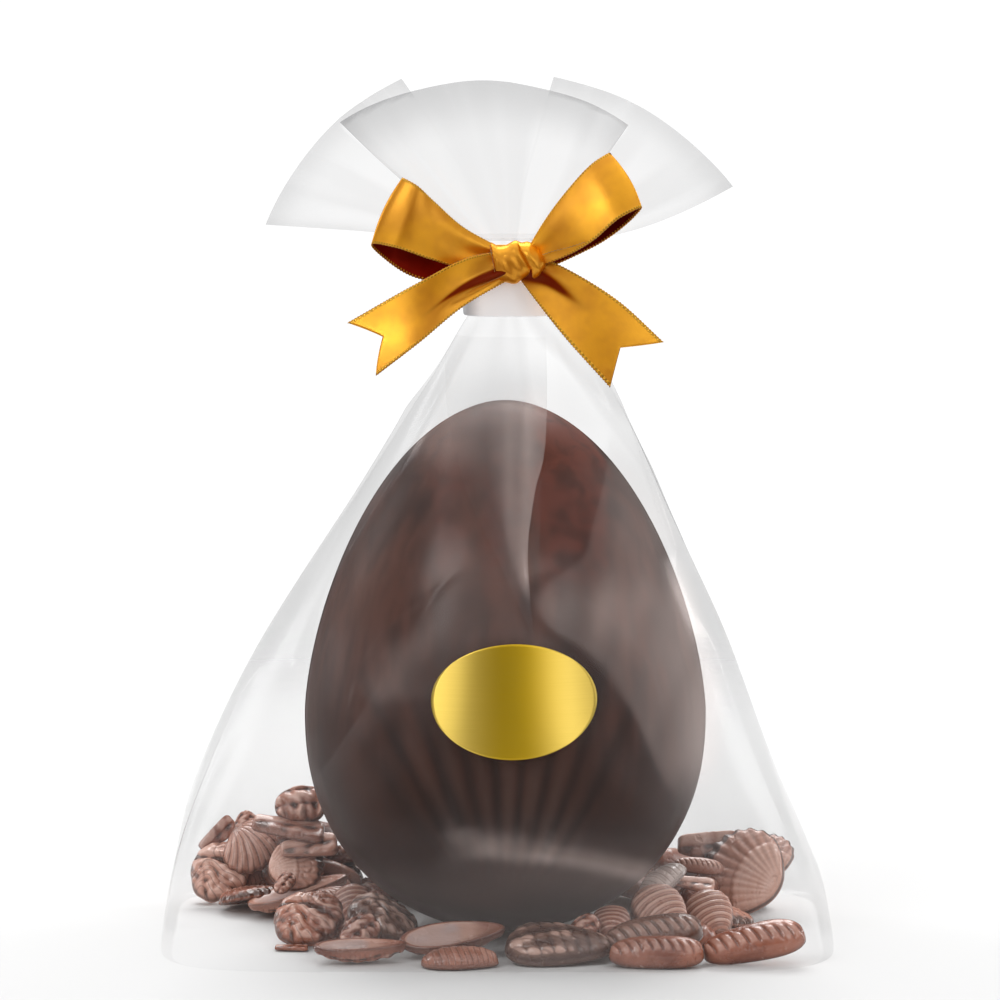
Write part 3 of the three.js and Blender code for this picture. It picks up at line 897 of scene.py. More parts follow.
def chocolate_egg(material):
    """The egg, with the moulded shell on its two faces and a fine seam between its halves."""
    around, rise = 440, 224
    z = egg_heights(np.linspace(0, np.pi, rise))[:, None]
    radius, angles = egg_radius(z), once_round(around)
    x, y = EGG_X + radius * np.cos(angles), radius * np.sin(angles)
    face = ease(0.15, 0.5, np.abs(y) / np.maximum(radius, 1))
    relief, rib = egg_relief(x, z)
    push = relief * face - EGG_INSET + SEAM_HEIGHT * hill(y, 0.5)
    scale = 1 + push * ease(0, 14, radius) / np.maximum(radius, 1e-3)
    points = xyz(EGG_X + (x - EGG_X) * scale, y * scale, z)
    obj = mesh_object("chocolate_egg", points[::-1], grid_faces(rise, around, closed=True))
    # The rib values drive painted highlight on the ribs and painted shade between them.
    point_value(obj, "rib", (rib * face)[::-1])
    finish_piece(obj, material, "dark_chocolate", "bag")


# ---------------------------------------------------------------- the small chocolates

def oval(length, width, taper=0.0, squareness=2.0):
    """An outline, as x and y for a turn about its centre; a taper above 0 widens its far end."""
    def at(turn):
        x, y = rounded_box(length / 2, width / 2, squareness, turn)
        return x, y * (1 + taper * x / (length / 2))
    return at


def fan(length, half_angle, ribs, ear=0.0):
    """The outline of a shell that spreads from its hinge, scalloped by its ribs."""
    def at(turn):
        swing = half_angle * np.sin(turn / 2 - np.pi / 2)
        reach = length * np.cos(swing / half_angle * np.pi / 2) ** 0.3 * (1 + 0.018 * np.cos(ribs * swing))
        reach = np.maximum(reach, ear * length)
        return reach * np.cos(swing) - length / 2, reach * np.sin(swing)
    return at


def hinge_polar(x, y, length):
    """Angle about a shell's hinge, and distance from it as a share of its length."""
    return np.arctan2(y, x + 0.56 * length), np.hypot(x + 0.56 * length, y) / length


# Each relief gives how far the face stands out, and the phase of its fine lines, where 0.5 is between lines.

def scallop_relief(x, y, length):
    angle, reach = hinge_polar(x, y, length)
    ribs = 0.13 * np.cos(42 * angle) * ease(0.15, 0.5, reach)
    steps = 0.5 * ease(0.985, 0.93, reach) + 0.45 * ease(0.66, 0.60, reach)
    return ribs + steps, 0.5 + 0.38 * np.sin(10 * np.pi * reach)


def cockle_relief(x, y, length):
    angle, reach = hinge_polar(x, y, length)
    turned_angle = angle + 0.35 * reach
    return 0.42 * np.abs(np.cos(13 * turned_angle)) * ease(0.05, 0.4, reach), 26 * turned_angle / np.pi


def clam_relief(x, y, length):
    angle, reach = hinge_polar(x, y, length)
    phase = 8 * reach + 0.25 * np.cos(2 * angle)
    terrace = phase % 1
    return 0.7 * (terrace - ease(0.8, 1, terrace)) * ease(0.1, 0.3, reach), 2 * phase + 0.3


def mussel_relief(x, y, length):
    _, reach = hinge_polar(x, y, length)
    crest = 0.5 * hill(y - 0.6, 1.4) * ease(0.9, 0.2, reach)
    return crest + 0.10 * np.cos(48 * reach), 13 * reach + 0.5 * y / length


def boat_relief(x, y, length):
    return 0.35 * np.cos(1.3 * x + 0.4 * y) * hill(y, 4) + 0.2 * np.cos(2.1 * y), 0.6 * x


def shard_relief(x, y, length):
    uneven = waves(x, y, seed=9, count=6, low=0.3, high=1.2)
    return 0.20 * uneven + 0.35 * ease(-0.4, 0.4, y - 0.1 * x), 0.5 + 0.25 * uneven


def spindle_relief(x, y, length):
    comma = (x / length * 9 + (y + 2) / length * 5 + 0.012 * y * y) % 1
    back = np.exp(-(((y + 1.3) / (0.082 * length)) ** 4))
    return back * (0.35 - 0.75 * hill(comma - 0.5, 0.17)), 0.5 + 0.12 * np.sin(x)


def conch_relief(x, y, length):
    angle = np.arctan2(y, x + 0.45 * length)
    spread = ease(-0.25 * length, 0.1 * length, x)
    ribs = np.abs(np.cos(8 * angle + 0.5 * np.sin(x / 2.5))) ** 0.8 * spread
    dome = 1.5 * hill(x + 0.22 * length, 0.18 * length) * hill(y - 1, 0.2 * length)
    valley = 1.3 * hill(y - 0.35 * x - 1.2, 0.9) * ease(0.45 * length, 0, x)
    uneven = 0.25 * waves(x, y, seed=3, count=6, low=1.2, high=3.0)
    return dome + 0.8 * ribs - valley + uneven, 0.5 + (9 * angle + 0.35 * np.sin(x / 1.7)) * spread


def whelk_relief(x, y, length):
    turns = 0.27 * x + 0.12 * y
    whorl = np.abs(np.sin(np.pi * turns)) ** 0.6
    uneven = waves(x / 2, y, seed=6, count=7, low=0.5, high=1.4)
    return 0.35 * whorl + 0.35 * uneven, 0.5 + 0.45 * y + 0.10 * x


def knobbly_relief(x, y, length):
    row = np.abs(np.sin(3.2 * np.pi * y / length + 0.5)) ** 0.8
    row = row * (0.72 + 0.28 * np.cos(4.4 * np.pi * x / length))
    uneven = waves(x, y, seed=4, count=6, low=1.0, high=2.4)
    return 1.5 * row + 0.35 * uneven, 0.5 + 0.3 * uneven


# Each kind: length, outline, wall, crown, roundness of the crown, relief and grid.
KINDS = {
    "scallop": (24, fan(24, 1.05, 42, ear=0.25), 1.4, 3.4, 0.62, scallop_relief, 90),
    "cockle": (18, fan(18, 1.25, 28), 1.0, 5.0, 0.55, cockle_relief, 70),
    "clam": (17, oval(17, 13.5, 0.22), 2.8, 3.6, 0.55, clam_relief, 70),
    "mussel": (22, oval(22, 13, 0.3), 1.6, 4.6, 0.55, mussel_relief, 60),
    "spindle": (28, oval(28, 11, 0.12, 2.5), 2.6, 4.4, 0.42, spindle_relief, 90),
    "conch": (20, fan(20, 0.98, 22, ear=0.38), 1.4, 3.8, 0.6, conch_relief, 84),
    "whelk": (29, oval(29, 15, -0.38, 2.2), 2.0, 5.0, 0.55, whelk_relief, 90),
    "knobbly": (14, oval(14, 10.5, 0.1, 2.3), 1.4, 2.6, 0.6, knobbly_relief, 56),
    "boat": (31, oval(31, 12, -0.25, 1.9), 2.0, 3.8, 0.7, boat_relief, 56),
    "shard": (22, oval(22, 9, 0.3, 6.0), 1.5, 1.2, 0.2, shard_relief, 40),
}


def skirt_faces(ring, rows, start):
    """Quads from a face's rim down the wall and in over the flat back, closed by a point in its middle."""
    around = len(ring)
    place = np.arange(around)
    beside = np.roll(place, -1)
    lower, last = start + place, start + (rows - 1) * around + place
    faces = np.stack([ring[beside], ring, lower, lower[beside]], -1).tolist()
    faces += [face[::-1] for face in grid_faces(rows, around, closed=True, start=start)]
    return faces + np.stack([last[beside], last, np.full(around, start + rows * around)], -1).tolist()


def moulded_shape(kind, rng, detail):
    """A small moulded chocolate on its flat back, a little uneven: points, faces, how far each point stands
    out in the relief, where 2 marks the flat back, and the phase of its fine lines."""
    length, outline, wall, crown, roundness, relief_of, count = KINDS[kind]
    count = round(count * detail)
    u, v = disc(count)
    edge_x, edge_y = outline(np.linspace(0, 2 * np.pi, 721))
    bearing = np.arctan2(edge_y, edge_x)
    order = np.argsort(bearing)
    reach = np.interp(np.arctan2(v, u), bearing[order], np.hypot(edge_x, edge_y)[order], period=2 * np.pi)
    x, y, share = u * reach, v * reach, np.clip(np.hypot(u, v), 0, 1)
    inner = ease(1.0, 0.93, share)
    uneven = 0.22 * waves(x / 4, y / 4, seed=int(rng.integers(1 << 30)), count=6, low=0.6, high=1.6)
    relief, lines = relief_of(x, y, length)
    relief = relief * inner
    face = xyz(x, y, wall + crown * (1 - share ** 2.2) ** roundness + relief + uneven * inner).reshape(-1, 3)
    index = np.arange(count * count).reshape(count, count)
    ring = np.concatenate([index[0, :-1], index[:-1, -1], index[-1, :0:-1], index[:0:-1, 0]])
    # The rows of the wall and the back: size, height and place in the relief, which below 0 paints shade down
    # the wall.
    rows = [(1.012, wall * 0.55, -0.3), (1.015, 0.45, -0.6), (0.99, 0.0, -0.5), (0.90, 0.06, 0.4),
            (0.86, 0.32, 1.7), (0.5, 0.38, 2.0), (0.15, 0.34, 2.0)]
    skirt = np.concatenate([face[ring] * (size, size, 0) + (0, 0, height) for size, height, _ in rows])
    points = np.concatenate([face, skirt, [(0, 0, 0.34)]])
    faces = grid_faces(count, count) + skirt_faces(ring, len(rows), len(face))
    middle, swing = np.percentile(relief, 45), np.percentile(relief, 92) - np.percentile(relief, 12)
    # The ridge value: above 0 the material paints highlight, below 0 it paints shade.
    ridge = np.clip(1.8 * (relief - middle) / max(swing, 0.2), -1, 1) * min(1, swing / 0.6)
    flat = np.repeat([row[2] for row in rows], len(ring))
    bare = np.where(flat > 1, ease(0.35, -0.05, skirt[:, 0] / length) * (flat - 0.3) + 0.3, flat)
    ridge = np.concatenate([ridge.ravel(), bare, [1.6]])
    lines = np.concatenate([(lines + 0 * x).ravel(), np.full(len(skirt) + 1, 0.5)])
    warp = 0.01 * rng.normal(size=2)
    points[:, 2] += warp[0] * points[:, 0] + warp[1] * points[:, 1]
    stretch = 1 + 0.04 * rng.normal(), 1 + 0.04 * rng.normal(), 1 + 0.05 * rng.normal()
    return points * stretch, faces, ridge, lines


def turned(spin, tilt, roll):
    """A piece turned in its own plane, then tipped towards the front, then rolled to its right."""
    m = Matrix.Rotation(math.radians(roll), 3, "Y") @ Matrix.Rotation(math.radians(tilt), 3, "X")
    return np.array(m @ Matrix.Rotation(math.radians(spin), 3, "Z"))


# The pieces that show from the front: kind, size, place before they are eased apart, spin, tilt, roll, tone.
SHOWN = [
    ("conch", 1.0, (-79, 38, 11), -38, 60, 0, 0.95), ("knobbly", 0.5, (-84, 42, 5), 20, 30, 0, 0.7),
    ("shard", 0.55, (-81, 46, 20), 40, 70, 0, 0.5), ("knobbly", 0.55, (-73, 44, 24), 60, 60, 0, 0.7),
    ("cockle", 0.85, (-70, 38, 19), -40, 60, 0, 0.85), ("knobbly", 1.0, (-57, 31, 32), 5, 60, 0, 0.7),
    ("shard", 0.95, (-60, 27, 26), 0, 18, 8, 0.7), ("shard", 0.75, (-54, 24, 21), 5, 36, -3, 0.9),
    ("scallop", 0.72, (-58, 24, 15), 15, 60, -4, 1.0), ("boat", 0.95, (-57, 20, 8.5), 0, 212, -14, 0.75),
    ("knobbly", 0.5, (-61, 13, 12.5), 50, 60, 0, 0.7), ("cockle", 0.66, (-48, 6, 7), -60, 60, 0, 0.8),
    ("clam", 0.78, (-41, 2, 9), 100, 50, 0, 0.5), ("conch", 1.05, (-30, -12, 9), -35, 52, 0, 0.15),
    ("conch", 1.0, (-53, -18, 6), -38, 58, 0, 0.6), ("shard", 0.4, (-58, -27, 2), 0, 10, 0, 0.5),
    ("knobbly", 0.9, (-39, -28, 6), 40, 50, 0, 0.4), ("boat", 0.82, (-38, -44, 3), 0, 214, -12, 0.5),
    ("boat", 0.95, (-12, -37, 6), 0, 212, -10, 0.3), ("mussel", 0.95, (-10, -49, 2), 180, 18, 2, 0.65),
    ("whelk", 1.0, (17, -43, 5), 0, 38, 6, 0.0), ("knobbly", 0.7, (24, -37, 9), 30, 40, -10, 0.6),
    ("shard", 0.5, (28, -34, 4), 30, 30, 0, 0.8),
    ("clam", 0.84, (32, -30, 10), 90, 28, 0, 0.45), ("clam", 1.08, (46, -22, 12), 130, 45, 10, 0.85),
    ("mussel", 0.95, (43, -5, 17), 60, 38, 0, -1.0), ("clam", 0.95, (60, -12, 8), 110, 42, 0, 0.8),
    ("shard", 0.55, (56, 5, 14), 0, 30, 10, 1.0), ("spindle", 0.46, (57, 18, 17), 0, 30, 8, 0.8),
    ("shard", 0.85, (61, 30, 20), 0, 40, 4, 0.8), ("scallop", 1.08, (70, 22, 11.5), 150, 60, 0, 1.0),
    ("scallop", 0.72, (76, 30, 17), 100, 52, 0, 1.0),
    ("spindle", 1.02, (42, -38, 8.5), 0, 34, -9, 0.10), ("spindle", 0.92, (43, -50, 3.5), 0, 26, 6, 0.42),
    ("spindle", 1.0, (70, -46, 7.4), 0, 32, -11, 0.5),
]

# The pieces that don't show: their kinds in turn, then height, number and half spread of each layer behind
# the egg, and the places of those that fill up its sides.
HIDDEN_KINDS = ["mussel", "spindle", "clam", "conch", "cockle", "scallop", "mussel", "knobbly"]
HIDDEN_LAYERS = [(4, 13, 76), (11, 9, 60), (18, 5, 44)]
FILLING = [
    (62, 6, 4), (58, 16, 9), (50, 10, 4), (-46, 14, 4), (-56, 30, 5), (50, -14, 3), (-44, -12, 3),
    (-70, 30, 4), (-62, 40, 9), (-64, 44, 18), (-56, 38, 22),
]
SHOWN_DETAIL, HIDDEN_DETAIL = 1.0, 0.6


def hidden_places(rng):
    """Seeded places for the pieces behind the egg and at the back of the bag."""
    places = []
    for layer, (z, count, spread) in enumerate(HIDDEN_LAYERS):
        for i in range(count):
            kind = HIDDEN_KINDS[(i + layer) % len(HIDDEN_KINDS)]
            x = spread * (2 * (i + 0.5) / count - 1) + rng.uniform(-3, 3)
            y = 47 - 0.3 * layer + rng.uniform(-5, 3) - 0.0016 * x * x
            tilt = rng.uniform(-60, -15) if rng.uniform() < 0.75 else rng.uniform(150, 200)
            size = rng.uniform(0.85, 1.08) * (0.8 if kind == "scallop" else 1)
            turn = rng.uniform(0, 360), tilt, rng.uniform(-15, 15)
            places.append((kind, size, (x, y, z), *turn, rng.uniform(0.2, 0.9)))
    for place in FILLING:
        kind = HIDDEN_KINDS[int(rng.integers(len(HIDDEN_KINDS)))]
        turn = rng.uniform(0, 360), rng.uniform(-25, 25), rng.uniform(-15, 15)
        places.append((kind, 0.85, place, *turn, rng.uniform(0.2, 0.9)))
    return places


def proxy_balls(kind, size):
    """Balls that fill a piece, about the middle of its height, and their radius."""
    _, outline, wall, crown = KINDS[kind][:4]
    edge_x, edge_y = outline(np.linspace(0, 2 * np.pi, 60))
    ball = 0.42 * (wall + crown)
    x = np.arange(edge_x.min() + ball, edge_x.max() - ball + 0.1, ball * 1.3)
    y = np.arange(-20, 21) * ball * 1.3
    grid = np.array([(a, b) for a in x for b in y])
    half_x, half_y = np.abs(edge_x).max() - ball * 0.7, np.maximum(np.abs(edge_y).max() - ball * 0.7, 1)
    kept = grid[np.hypot(grid[:, 0] / half_x, grid[:, 1] / half_y) <= 1] * size
    return np.c_[kept, np.zeros(len(kept))], ball * size


def push_apart(points, apart, touch):
    """Moves the balls of different pieces out of each other."""
    gap = points[:, None] - points[None, :]
    away = np.linalg.norm(gap, axis=-1) + 1e-9
    push = np.where(apart & (away < touch), (touch - away) / away * 0.5, 0)
    share = np.maximum((push > 0).sum(1), 1) ** 0.5
    return points + (gap * push[..., None]).sum(1) / share[:, None]


def push_off_egg(points, radius, egg):
    """Moves the balls out of the egg, whose side is given as points of radius and height."""
    from_axis = points[:, :2] - (EGG_X, 0)
    out = np.linalg.norm(from_axis, axis=1)
    flat = np.stack([out, points[:, 2]], -1)
    near = np.linalg.norm(flat[:, None] - egg[None], axis=-1)
    nearest = egg[near.argmin(1)]
    side = np.where(out < egg_radius(points[:, 2]), -1, 1)
    distance = side * near.min(1)
    direction = (flat - nearest) / np.maximum(near.min(1), 1e-6)[:, None] * side[:, None]
    shift = np.clip(radius + BALL_EGG_GAP - distance, 0, None)[:, None] * direction
    points[:, :2] += from_axis / np.maximum(out, 1e-6)[:, None] * shift[:, :1]
    points[:, 2] += shift[:, 1]


def keep_in_bag(points, radius):
    """Lifts the balls off the base, and moves them in from the film."""
    points[:, 2] = np.maximum(points[:, 2], radius + BALL_BASE_GAP)
    lean, n = lean_profile(points[:, 2]), square_profile(points[:, 2])
    half_x = side_profile(points[:, 2]) - radius - BALL_SIDE_GAP
    half_y = depth_at(points[:, 2]) - radius - BALL_FRONT_GAP
    beyond = (np.abs((points[:, 0] - lean) / half_x) ** n + np.abs(points[:, 1] / half_y) ** n) ** (1 / n)
    back = 1 / np.maximum(beyond, 1)
    points[:, 0] = lean + (points[:, 0] - lean) * back
    points[:, 1] *= back


def settle(turns, middles, kinds, sizes, rounds=90):
    """Eases the pieces out of each other, the egg, the base and the film, each rigid by shape matching."""
    balls = [proxy_balls(kind, size) for kind, size in zip(kinds, sizes)]
    counts = [len(places) for places, _ in balls]
    rest = np.concatenate([places - places.mean(0) for places, _ in balls])
    radius = np.repeat([ball for _, ball in balls], counts)
    owner = np.repeat(np.arange(len(balls)), counts)
    starts = np.cumsum([0] + counts)
    points = np.einsum("nij,nj->ni", turns[owner], rest) + middles[owner]
    egg_z = egg_heights(np.linspace(0, np.pi, 160))
    egg = np.stack([egg_radius(egg_z), egg_z], -1)
    apart = owner[:, None] != owner[None, :]
    touch = radius[:, None] + radius[None, :]
    for _ in range(rounds):
        points[:, 2] -= SINK_EACH_ROUND
        points = push_apart(points, apart, touch)
        push_off_egg(points, radius, egg)
        keep_in_bag(points, radius)
        for i in range(len(middles)):
            span = slice(starts[i], starts[i + 1])
            middles[i] = points[span].mean(0)
            spread = (points[span] - middles[i]).T @ rest[span] + 1e-3 * turns[i]
            a, _, b = np.linalg.svd(spread)
            turns[i] = a @ np.diag([1, 1, np.linalg.det(a @ b)]) @ b
            points[span] = rest[span] @ turns[i].T + middles[i]
    return turns, middles


def small_chocolates(material):
    rng = np.random.default_rng(7)
    kinds, sizes, middles, *angles, tones = zip(*SHOWN, *hidden_places(rng))
    turns = np.array([turned(*angle) for angle in zip(*angles)])
    turns, middles = settle(turns, np.array(middles, float), kinds, sizes)
    made = {}
    for i, (kind, size, turn, middle, tone) in enumerate(zip(kinds, sizes, turns, middles, tones)):
        detail = SHOWN_DETAIL if i < len(SHOWN) else HIDDEN_DETAIL
        points, faces, ridge, lines = moulded_shape(kind, rng, detail)
        centre = proxy_balls(kind, 1)[0].mean(0) + (0, 0, (KINDS[kind][2] + KINDS[kind][3]) / 2)
        placed = (points - centre) * size @ turn.T + middle
        placed[:, 2] += max(HEAP_BASE_Z - placed[:, 2].min(), 0)
        made.setdefault(kind, []).append((placed, faces, np.full(len(placed), tone), ridge, lines))
    for kind, pieces in made.items():
        obj = mesh_object(f"small_chocolates_{kind}", *joined([piece[:2] for piece in pieces]))
        for name, values in zip(("tone", "ridge", "lines"), zip(*[piece[2:] for piece in pieces])):
            point_value(obj, name, np.concatenate(values))
        finish_piece(obj, material, "milk_chocolate", "bag")


# ---------------------------------------------------------------- the label and the band

def label(front, edge):
    """The oval label, stiffer than the film that it lies on."""
    count = 48
    u, v = disc(count)
    x, z = LABEL_X + LABEL_WIDTH / 2 * u, LABEL_Z + LABEL_HEIGHT / 2 * v
    lean = (bag_front(LABEL_X, LABEL_Z + 1) - bag_front(LABEL_X, LABEL_Z - 1)) / 2
    stiff = bag_front(x, LABEL_Z) + lean * (z - LABEL_Z)
    y = 0.75 * stiff + 0.25 * bag_front(x, z) - LABEL_GAP
    obj = mesh_object("label_oval", xyz(x, y, z), grid_faces(count, count), np.stack([x, z], -1) * MM)
    finish_piece(obj, [front, edge], "foil", "label")
    add_thickness(obj, LABEL_THICKNESS, rim_offset=1)


def neck_ring(name, wall, bottom, top, material, slot, replaced, ripple=0.0):
    """A ring round the gathered neck, with its edges rounded over."""
    around, section = 160, 28
    angles, turn = once_round(around), once_round(section)[:, None]
    out = wall / 2 * (1 + signed_power(np.cos(turn), 0.4))
    up = (bottom + top) / 2 + (top - bottom) / 2 * signed_power(np.sin(turn), 0.35)
    grow = PART_GAP + out + ripple * np.sin(7 * angles + 3 * up) * (out > wall / 2)
    x, y = rounded_box(NECK_HALF_WIDTH + grow, NECK_HALF_DEPTH + grow, NECK_SQUARENESS, angles)
    faces = np.array(grid_faces(section + 1, around, closed=True)) % (section * around)
    finish_piece(mesh_object(name, xyz(x + NECK_X, y, up), faces), material, slot, replaced)


# ---------------------------------------------------------------- the ribbon

# The two selvedges of each length of ribbon, from the knot outwards; the loops come back to the knot.
LEFT_LOOP = (
    [(0, -12, 198), (-9.8, -14.8, 204), (-17.4, -16.8, 211.1), (-22.4, -17.7, 215.8), (-27, -14.6, 217.9),
     (-24.5, -11, 215.5), (-17, -10, 208), (-9, -9.5, 201), (1, -9.5, 196)],
    [(0, -12, 191.5), (-10, -14.9, 192.5), (-19, -17.5, 195.3), (-29, -19.2, 198.9), (-35.6, -16, 199.4),
     (-31.5, -11.5, 194.4), (-23.5, -10, 189.3), (-12, -9.5, 187.4), (1, -9.5, 188.5)],
)
RIGHT_LOOP = (
    [(9, -12, 198), (13.5, -13, 206), (19.5, -13, 214.2), (26.5, -12, 221.6), (31.8, -9.8, 224.4),
     (28, -8.6, 219.5), (21.5, -8.8, 211.5), (15.5, -9.2, 203.5), (9, -9.5, 197)],
    [(10, -12.5, 192.0), (19.5, -17.5, 196.4), (26.3, -20.5, 200.9), (34, -21.5, 207.6), (40.6, -20, 210.4),
     (37.4, -16.5, 206.0), (30, -13.5, 199.9), (21, -11.5, 195.0), (10, -10, 190.0)],
)
LEFT_TAIL = (
    [(2, -13.5, 197), (-8.4, -18.5, 195.7), (-22.6, -20, 188.5), (-41.8, -17.5, 177.1)],
    [(3, -13.5, 189), (-10.1, -20, 182), (-22, -25, 172.6), (-33.8, -27, 163.6)],
)
RIGHT_TAIL = (
    [(9, -11, 196), (18.5, -14, 192.4), (33.5, -17.5, 183.6), (46.4, -19, 172)],
    [(5, -11, 190.5), (10.5, -14.5, 183.5), (19, -19.5, 173.4), (31.5, -23, 159.9)],
)
RIGHT_SEAM = [
    (12.6, -16.4, 196.3), (15.5, -17.3, 197.4), (18.6, -18.3, 198.3), (21.4, -19.2, 199.2),
    (24.4, -20.2, 200.4),
]
KNOT_SEAM = [
    (-2.1, -14.9, 199.0), (-1.7, -16.2, 196.6), (-1.2, -16.6, 193.8), (-0.7, -16.2, 191.0),
    (-0.2, -14.6, 188.7),
]
# A fold: its height, its place across the ribbon and its spread, then how far the place and the spread shift
# towards the knot.
# Beside a fold the satin is darkened with painted shade.
NO_FOLD = (0, 0.5, 0.13, 0, 0)
LEFT_TAIL_FOLD = (-2.8, 0.66, 0.11, 0, 0)
RIGHT_TAIL_FOLD = (2.8, 0.34, 0.19, 0.20, 0.7)


def ribbon_points(upper, lower, rows, columns, looped, notch, fold):
    """A length of ribbon between its selvedges, creased where the knot pinches it, with one fold more and
    painted shade beside that fold.
    """
    u, v = shares(columns, rows)
    reach = v * (1 - notch * (1 - np.abs(2 * u - 1)))
    top, bottom = catmull_rom(upper, reach), catmull_rom(lower, reach)
    points = top + (bottom - top) * u[..., None]
    along, across = np.gradient(points, axis=0), np.gradient(points, axis=1)
    normal = unit(np.cross(across, along))
    near = np.exp(-v * 9) + (np.exp(-(1 - v) * 9) if looped else 0)
    crease = 0.8 * np.sin(2 * np.pi * 1.5 * u + 0.6) * near
    cup = (1.1 if looped else 0.8) * (np.sin(np.pi * u) - 0.5) * (1 - near)
    height, place, spread, shift, widening = fold
    near_knot = ease(0.42, 0, v)
    place = place + shift * near_knot
    tuck = height * hill(u - place, spread) * ease(0.62, 0.06, v)
    side = place + (0.6 if height > 0 else -0.6) * spread
    narrow = spread * (1.25 - 0.85 * ease(0, 0.6, v)) * (1 + widening * near_knot)
    # Painted shade beside the fold, kept for the satin's colour.
    shade = np.clip(1.6 * hill(u - side, narrow) * ease(0.74, 0.34, v), 0, 1) * (height != 0)
    return points + normal * (crease + cup + tuck)[..., None], np.stack([u, reach], -1), shade


def ribbon_piece(name, edges, rows, materials, looped=False, notch=0.0, fold=NO_FOLD):
    columns = 41
    points, uv, shade = ribbon_points(*edges, rows, columns, looped, notch, fold)
    length = np.linalg.norm(np.diff(points[:, columns // 2], axis=0), axis=1).sum()
    width = np.linalg.norm(points[rows // 2, -1] - points[rows // 2, 0])
    obj = mesh_object(name, points, grid_faces(rows, columns), uv * (width * MM, length * MM))
    point_value(obj, "fold", shade)
    point_value(obj, "edge", np.minimum(uv[..., 0], 1 - uv[..., 0]) * width)
    finish_piece(obj, materials, "satin", "ribbon_bow")
    add_thickness(obj, RIBBON_THICKNESS, material_offset=1)
    return points


def stitched_edge(points):
    """A fine thread wound along an edge, as points and faces."""
    length = np.r_[0, np.cumsum(np.linalg.norm(np.diff(points, axis=0), axis=1))]
    count = int(length[-1] / STITCH_PITCH * STEPS_PER_STITCH)
    s = np.linspace(0, length[-1], count)
    path = np.stack([np.interp(s, length, points[:, i]) for i in range(3)], -1)
    tangent = unit(np.gradient(path, axis=0))
    side = unit(np.cross(tangent, (0, 1, 0)))
    wind = 2 * np.pi * s[:, None] / STITCH_PITCH
    centre = path + STITCH_RADIUS * (np.cos(wind) * side + np.sin(wind) * np.cross(tangent, side))
    tangent = unit(np.gradient(centre, axis=0))
    side = unit(np.cross(tangent, path - centre))[:, None]
    other = np.cross(tangent[:, None], side)
    ring = once_round(THREAD_SIDES)[:, None]
    tube = centre[:, None] + THREAD_RADIUS * (np.cos(ring) * side + np.sin(ring) * other)
    ends = [list(range(THREAD_SIDES))[::-1], list(range((count - 1) * THREAD_SIDES, count * THREAD_SIDES))]
    return tube.reshape(-1, 3), grid_faces(count, THREAD_SIDES, closed=True) + ends


def ribbon_bow(satin, inside, thread):
    """The whole bow; the left loop's selvedges are swapped, so that its satin side faces outwards too."""
    selvedges = []
    for name, edges in (("ribbon_loop_left", LEFT_LOOP[::-1]), ("ribbon_loop_right", RIGHT_LOOP)):
        # The loops' inner faces get the dark copy of the satin, painted shade.
        points = ribbon_piece(name, edges, 150, [satin, inside], looped=True)
        selvedges += [points[:, 0], points[:, -1]]
    for name, edges, fold in (("ribbon_tail_left", LEFT_TAIL, LEFT_TAIL_FOLD),
                              ("ribbon_tail_right", RIGHT_TAIL, RIGHT_TAIL_FOLD)):
        points = ribbon_piece(name, edges, 80, [satin, satin], notch=TAIL_NOTCH, fold=fold)
        selvedges += [points[:, 0] * 0.98 + points[:, 1] * 0.02, points[:, -1] * 0.98 + points[:, -2] * 0.02]
    selvedges.append(catmull_rom(RIGHT_SEAM, np.linspace(0, 1, 60)))
    selvedges.append(catmull_rom(KNOT_SEAM, np.linspace(0, 1, 40)))
    stitches = mesh_object("ribbon_stitches", *joined([stitched_edge(edge) for edge in selvedges]))
    finish_piece(stitches, thread, "satin")
    neck_ring("ribbon_wrap", WRAP_WALL, WRAP_BOTTOM_Z, WRAP_TOP_Z, satin, "satin", "ribbon_bow", WRAP_RIPPLE)
    ribbon_knot(satin)


# The knot's upper and lower edge, as height against x.
KNOT_TOP = profile([
    (KNOT_LEFT_X, 199.4), (1, 198.1), (3, 198.4), (5.5, 199.6), (7.2, 199.1), (8.9, 199.3), (10.9, 198.1),
    (13.4, 195.6),
])
KNOT_BOTTOM = profile([
    (KNOT_LEFT_X, 188.3), (1.5, 187.9), (3.2, 187.5), (4.7, 187.6), (5.8, 188.3), (7.5, 189.3), (9, 189.8),
    (9.8, 189.0), (10.9, 189.2), (12.3, 190.1), (13.4, 191.5),
])


def rounded_end(share):
    """The outline of a round end, from 0 at its tip to 1 where it has its full size."""
    return np.sqrt(1 - (1 - np.clip(share, 0, 1)) ** 2)


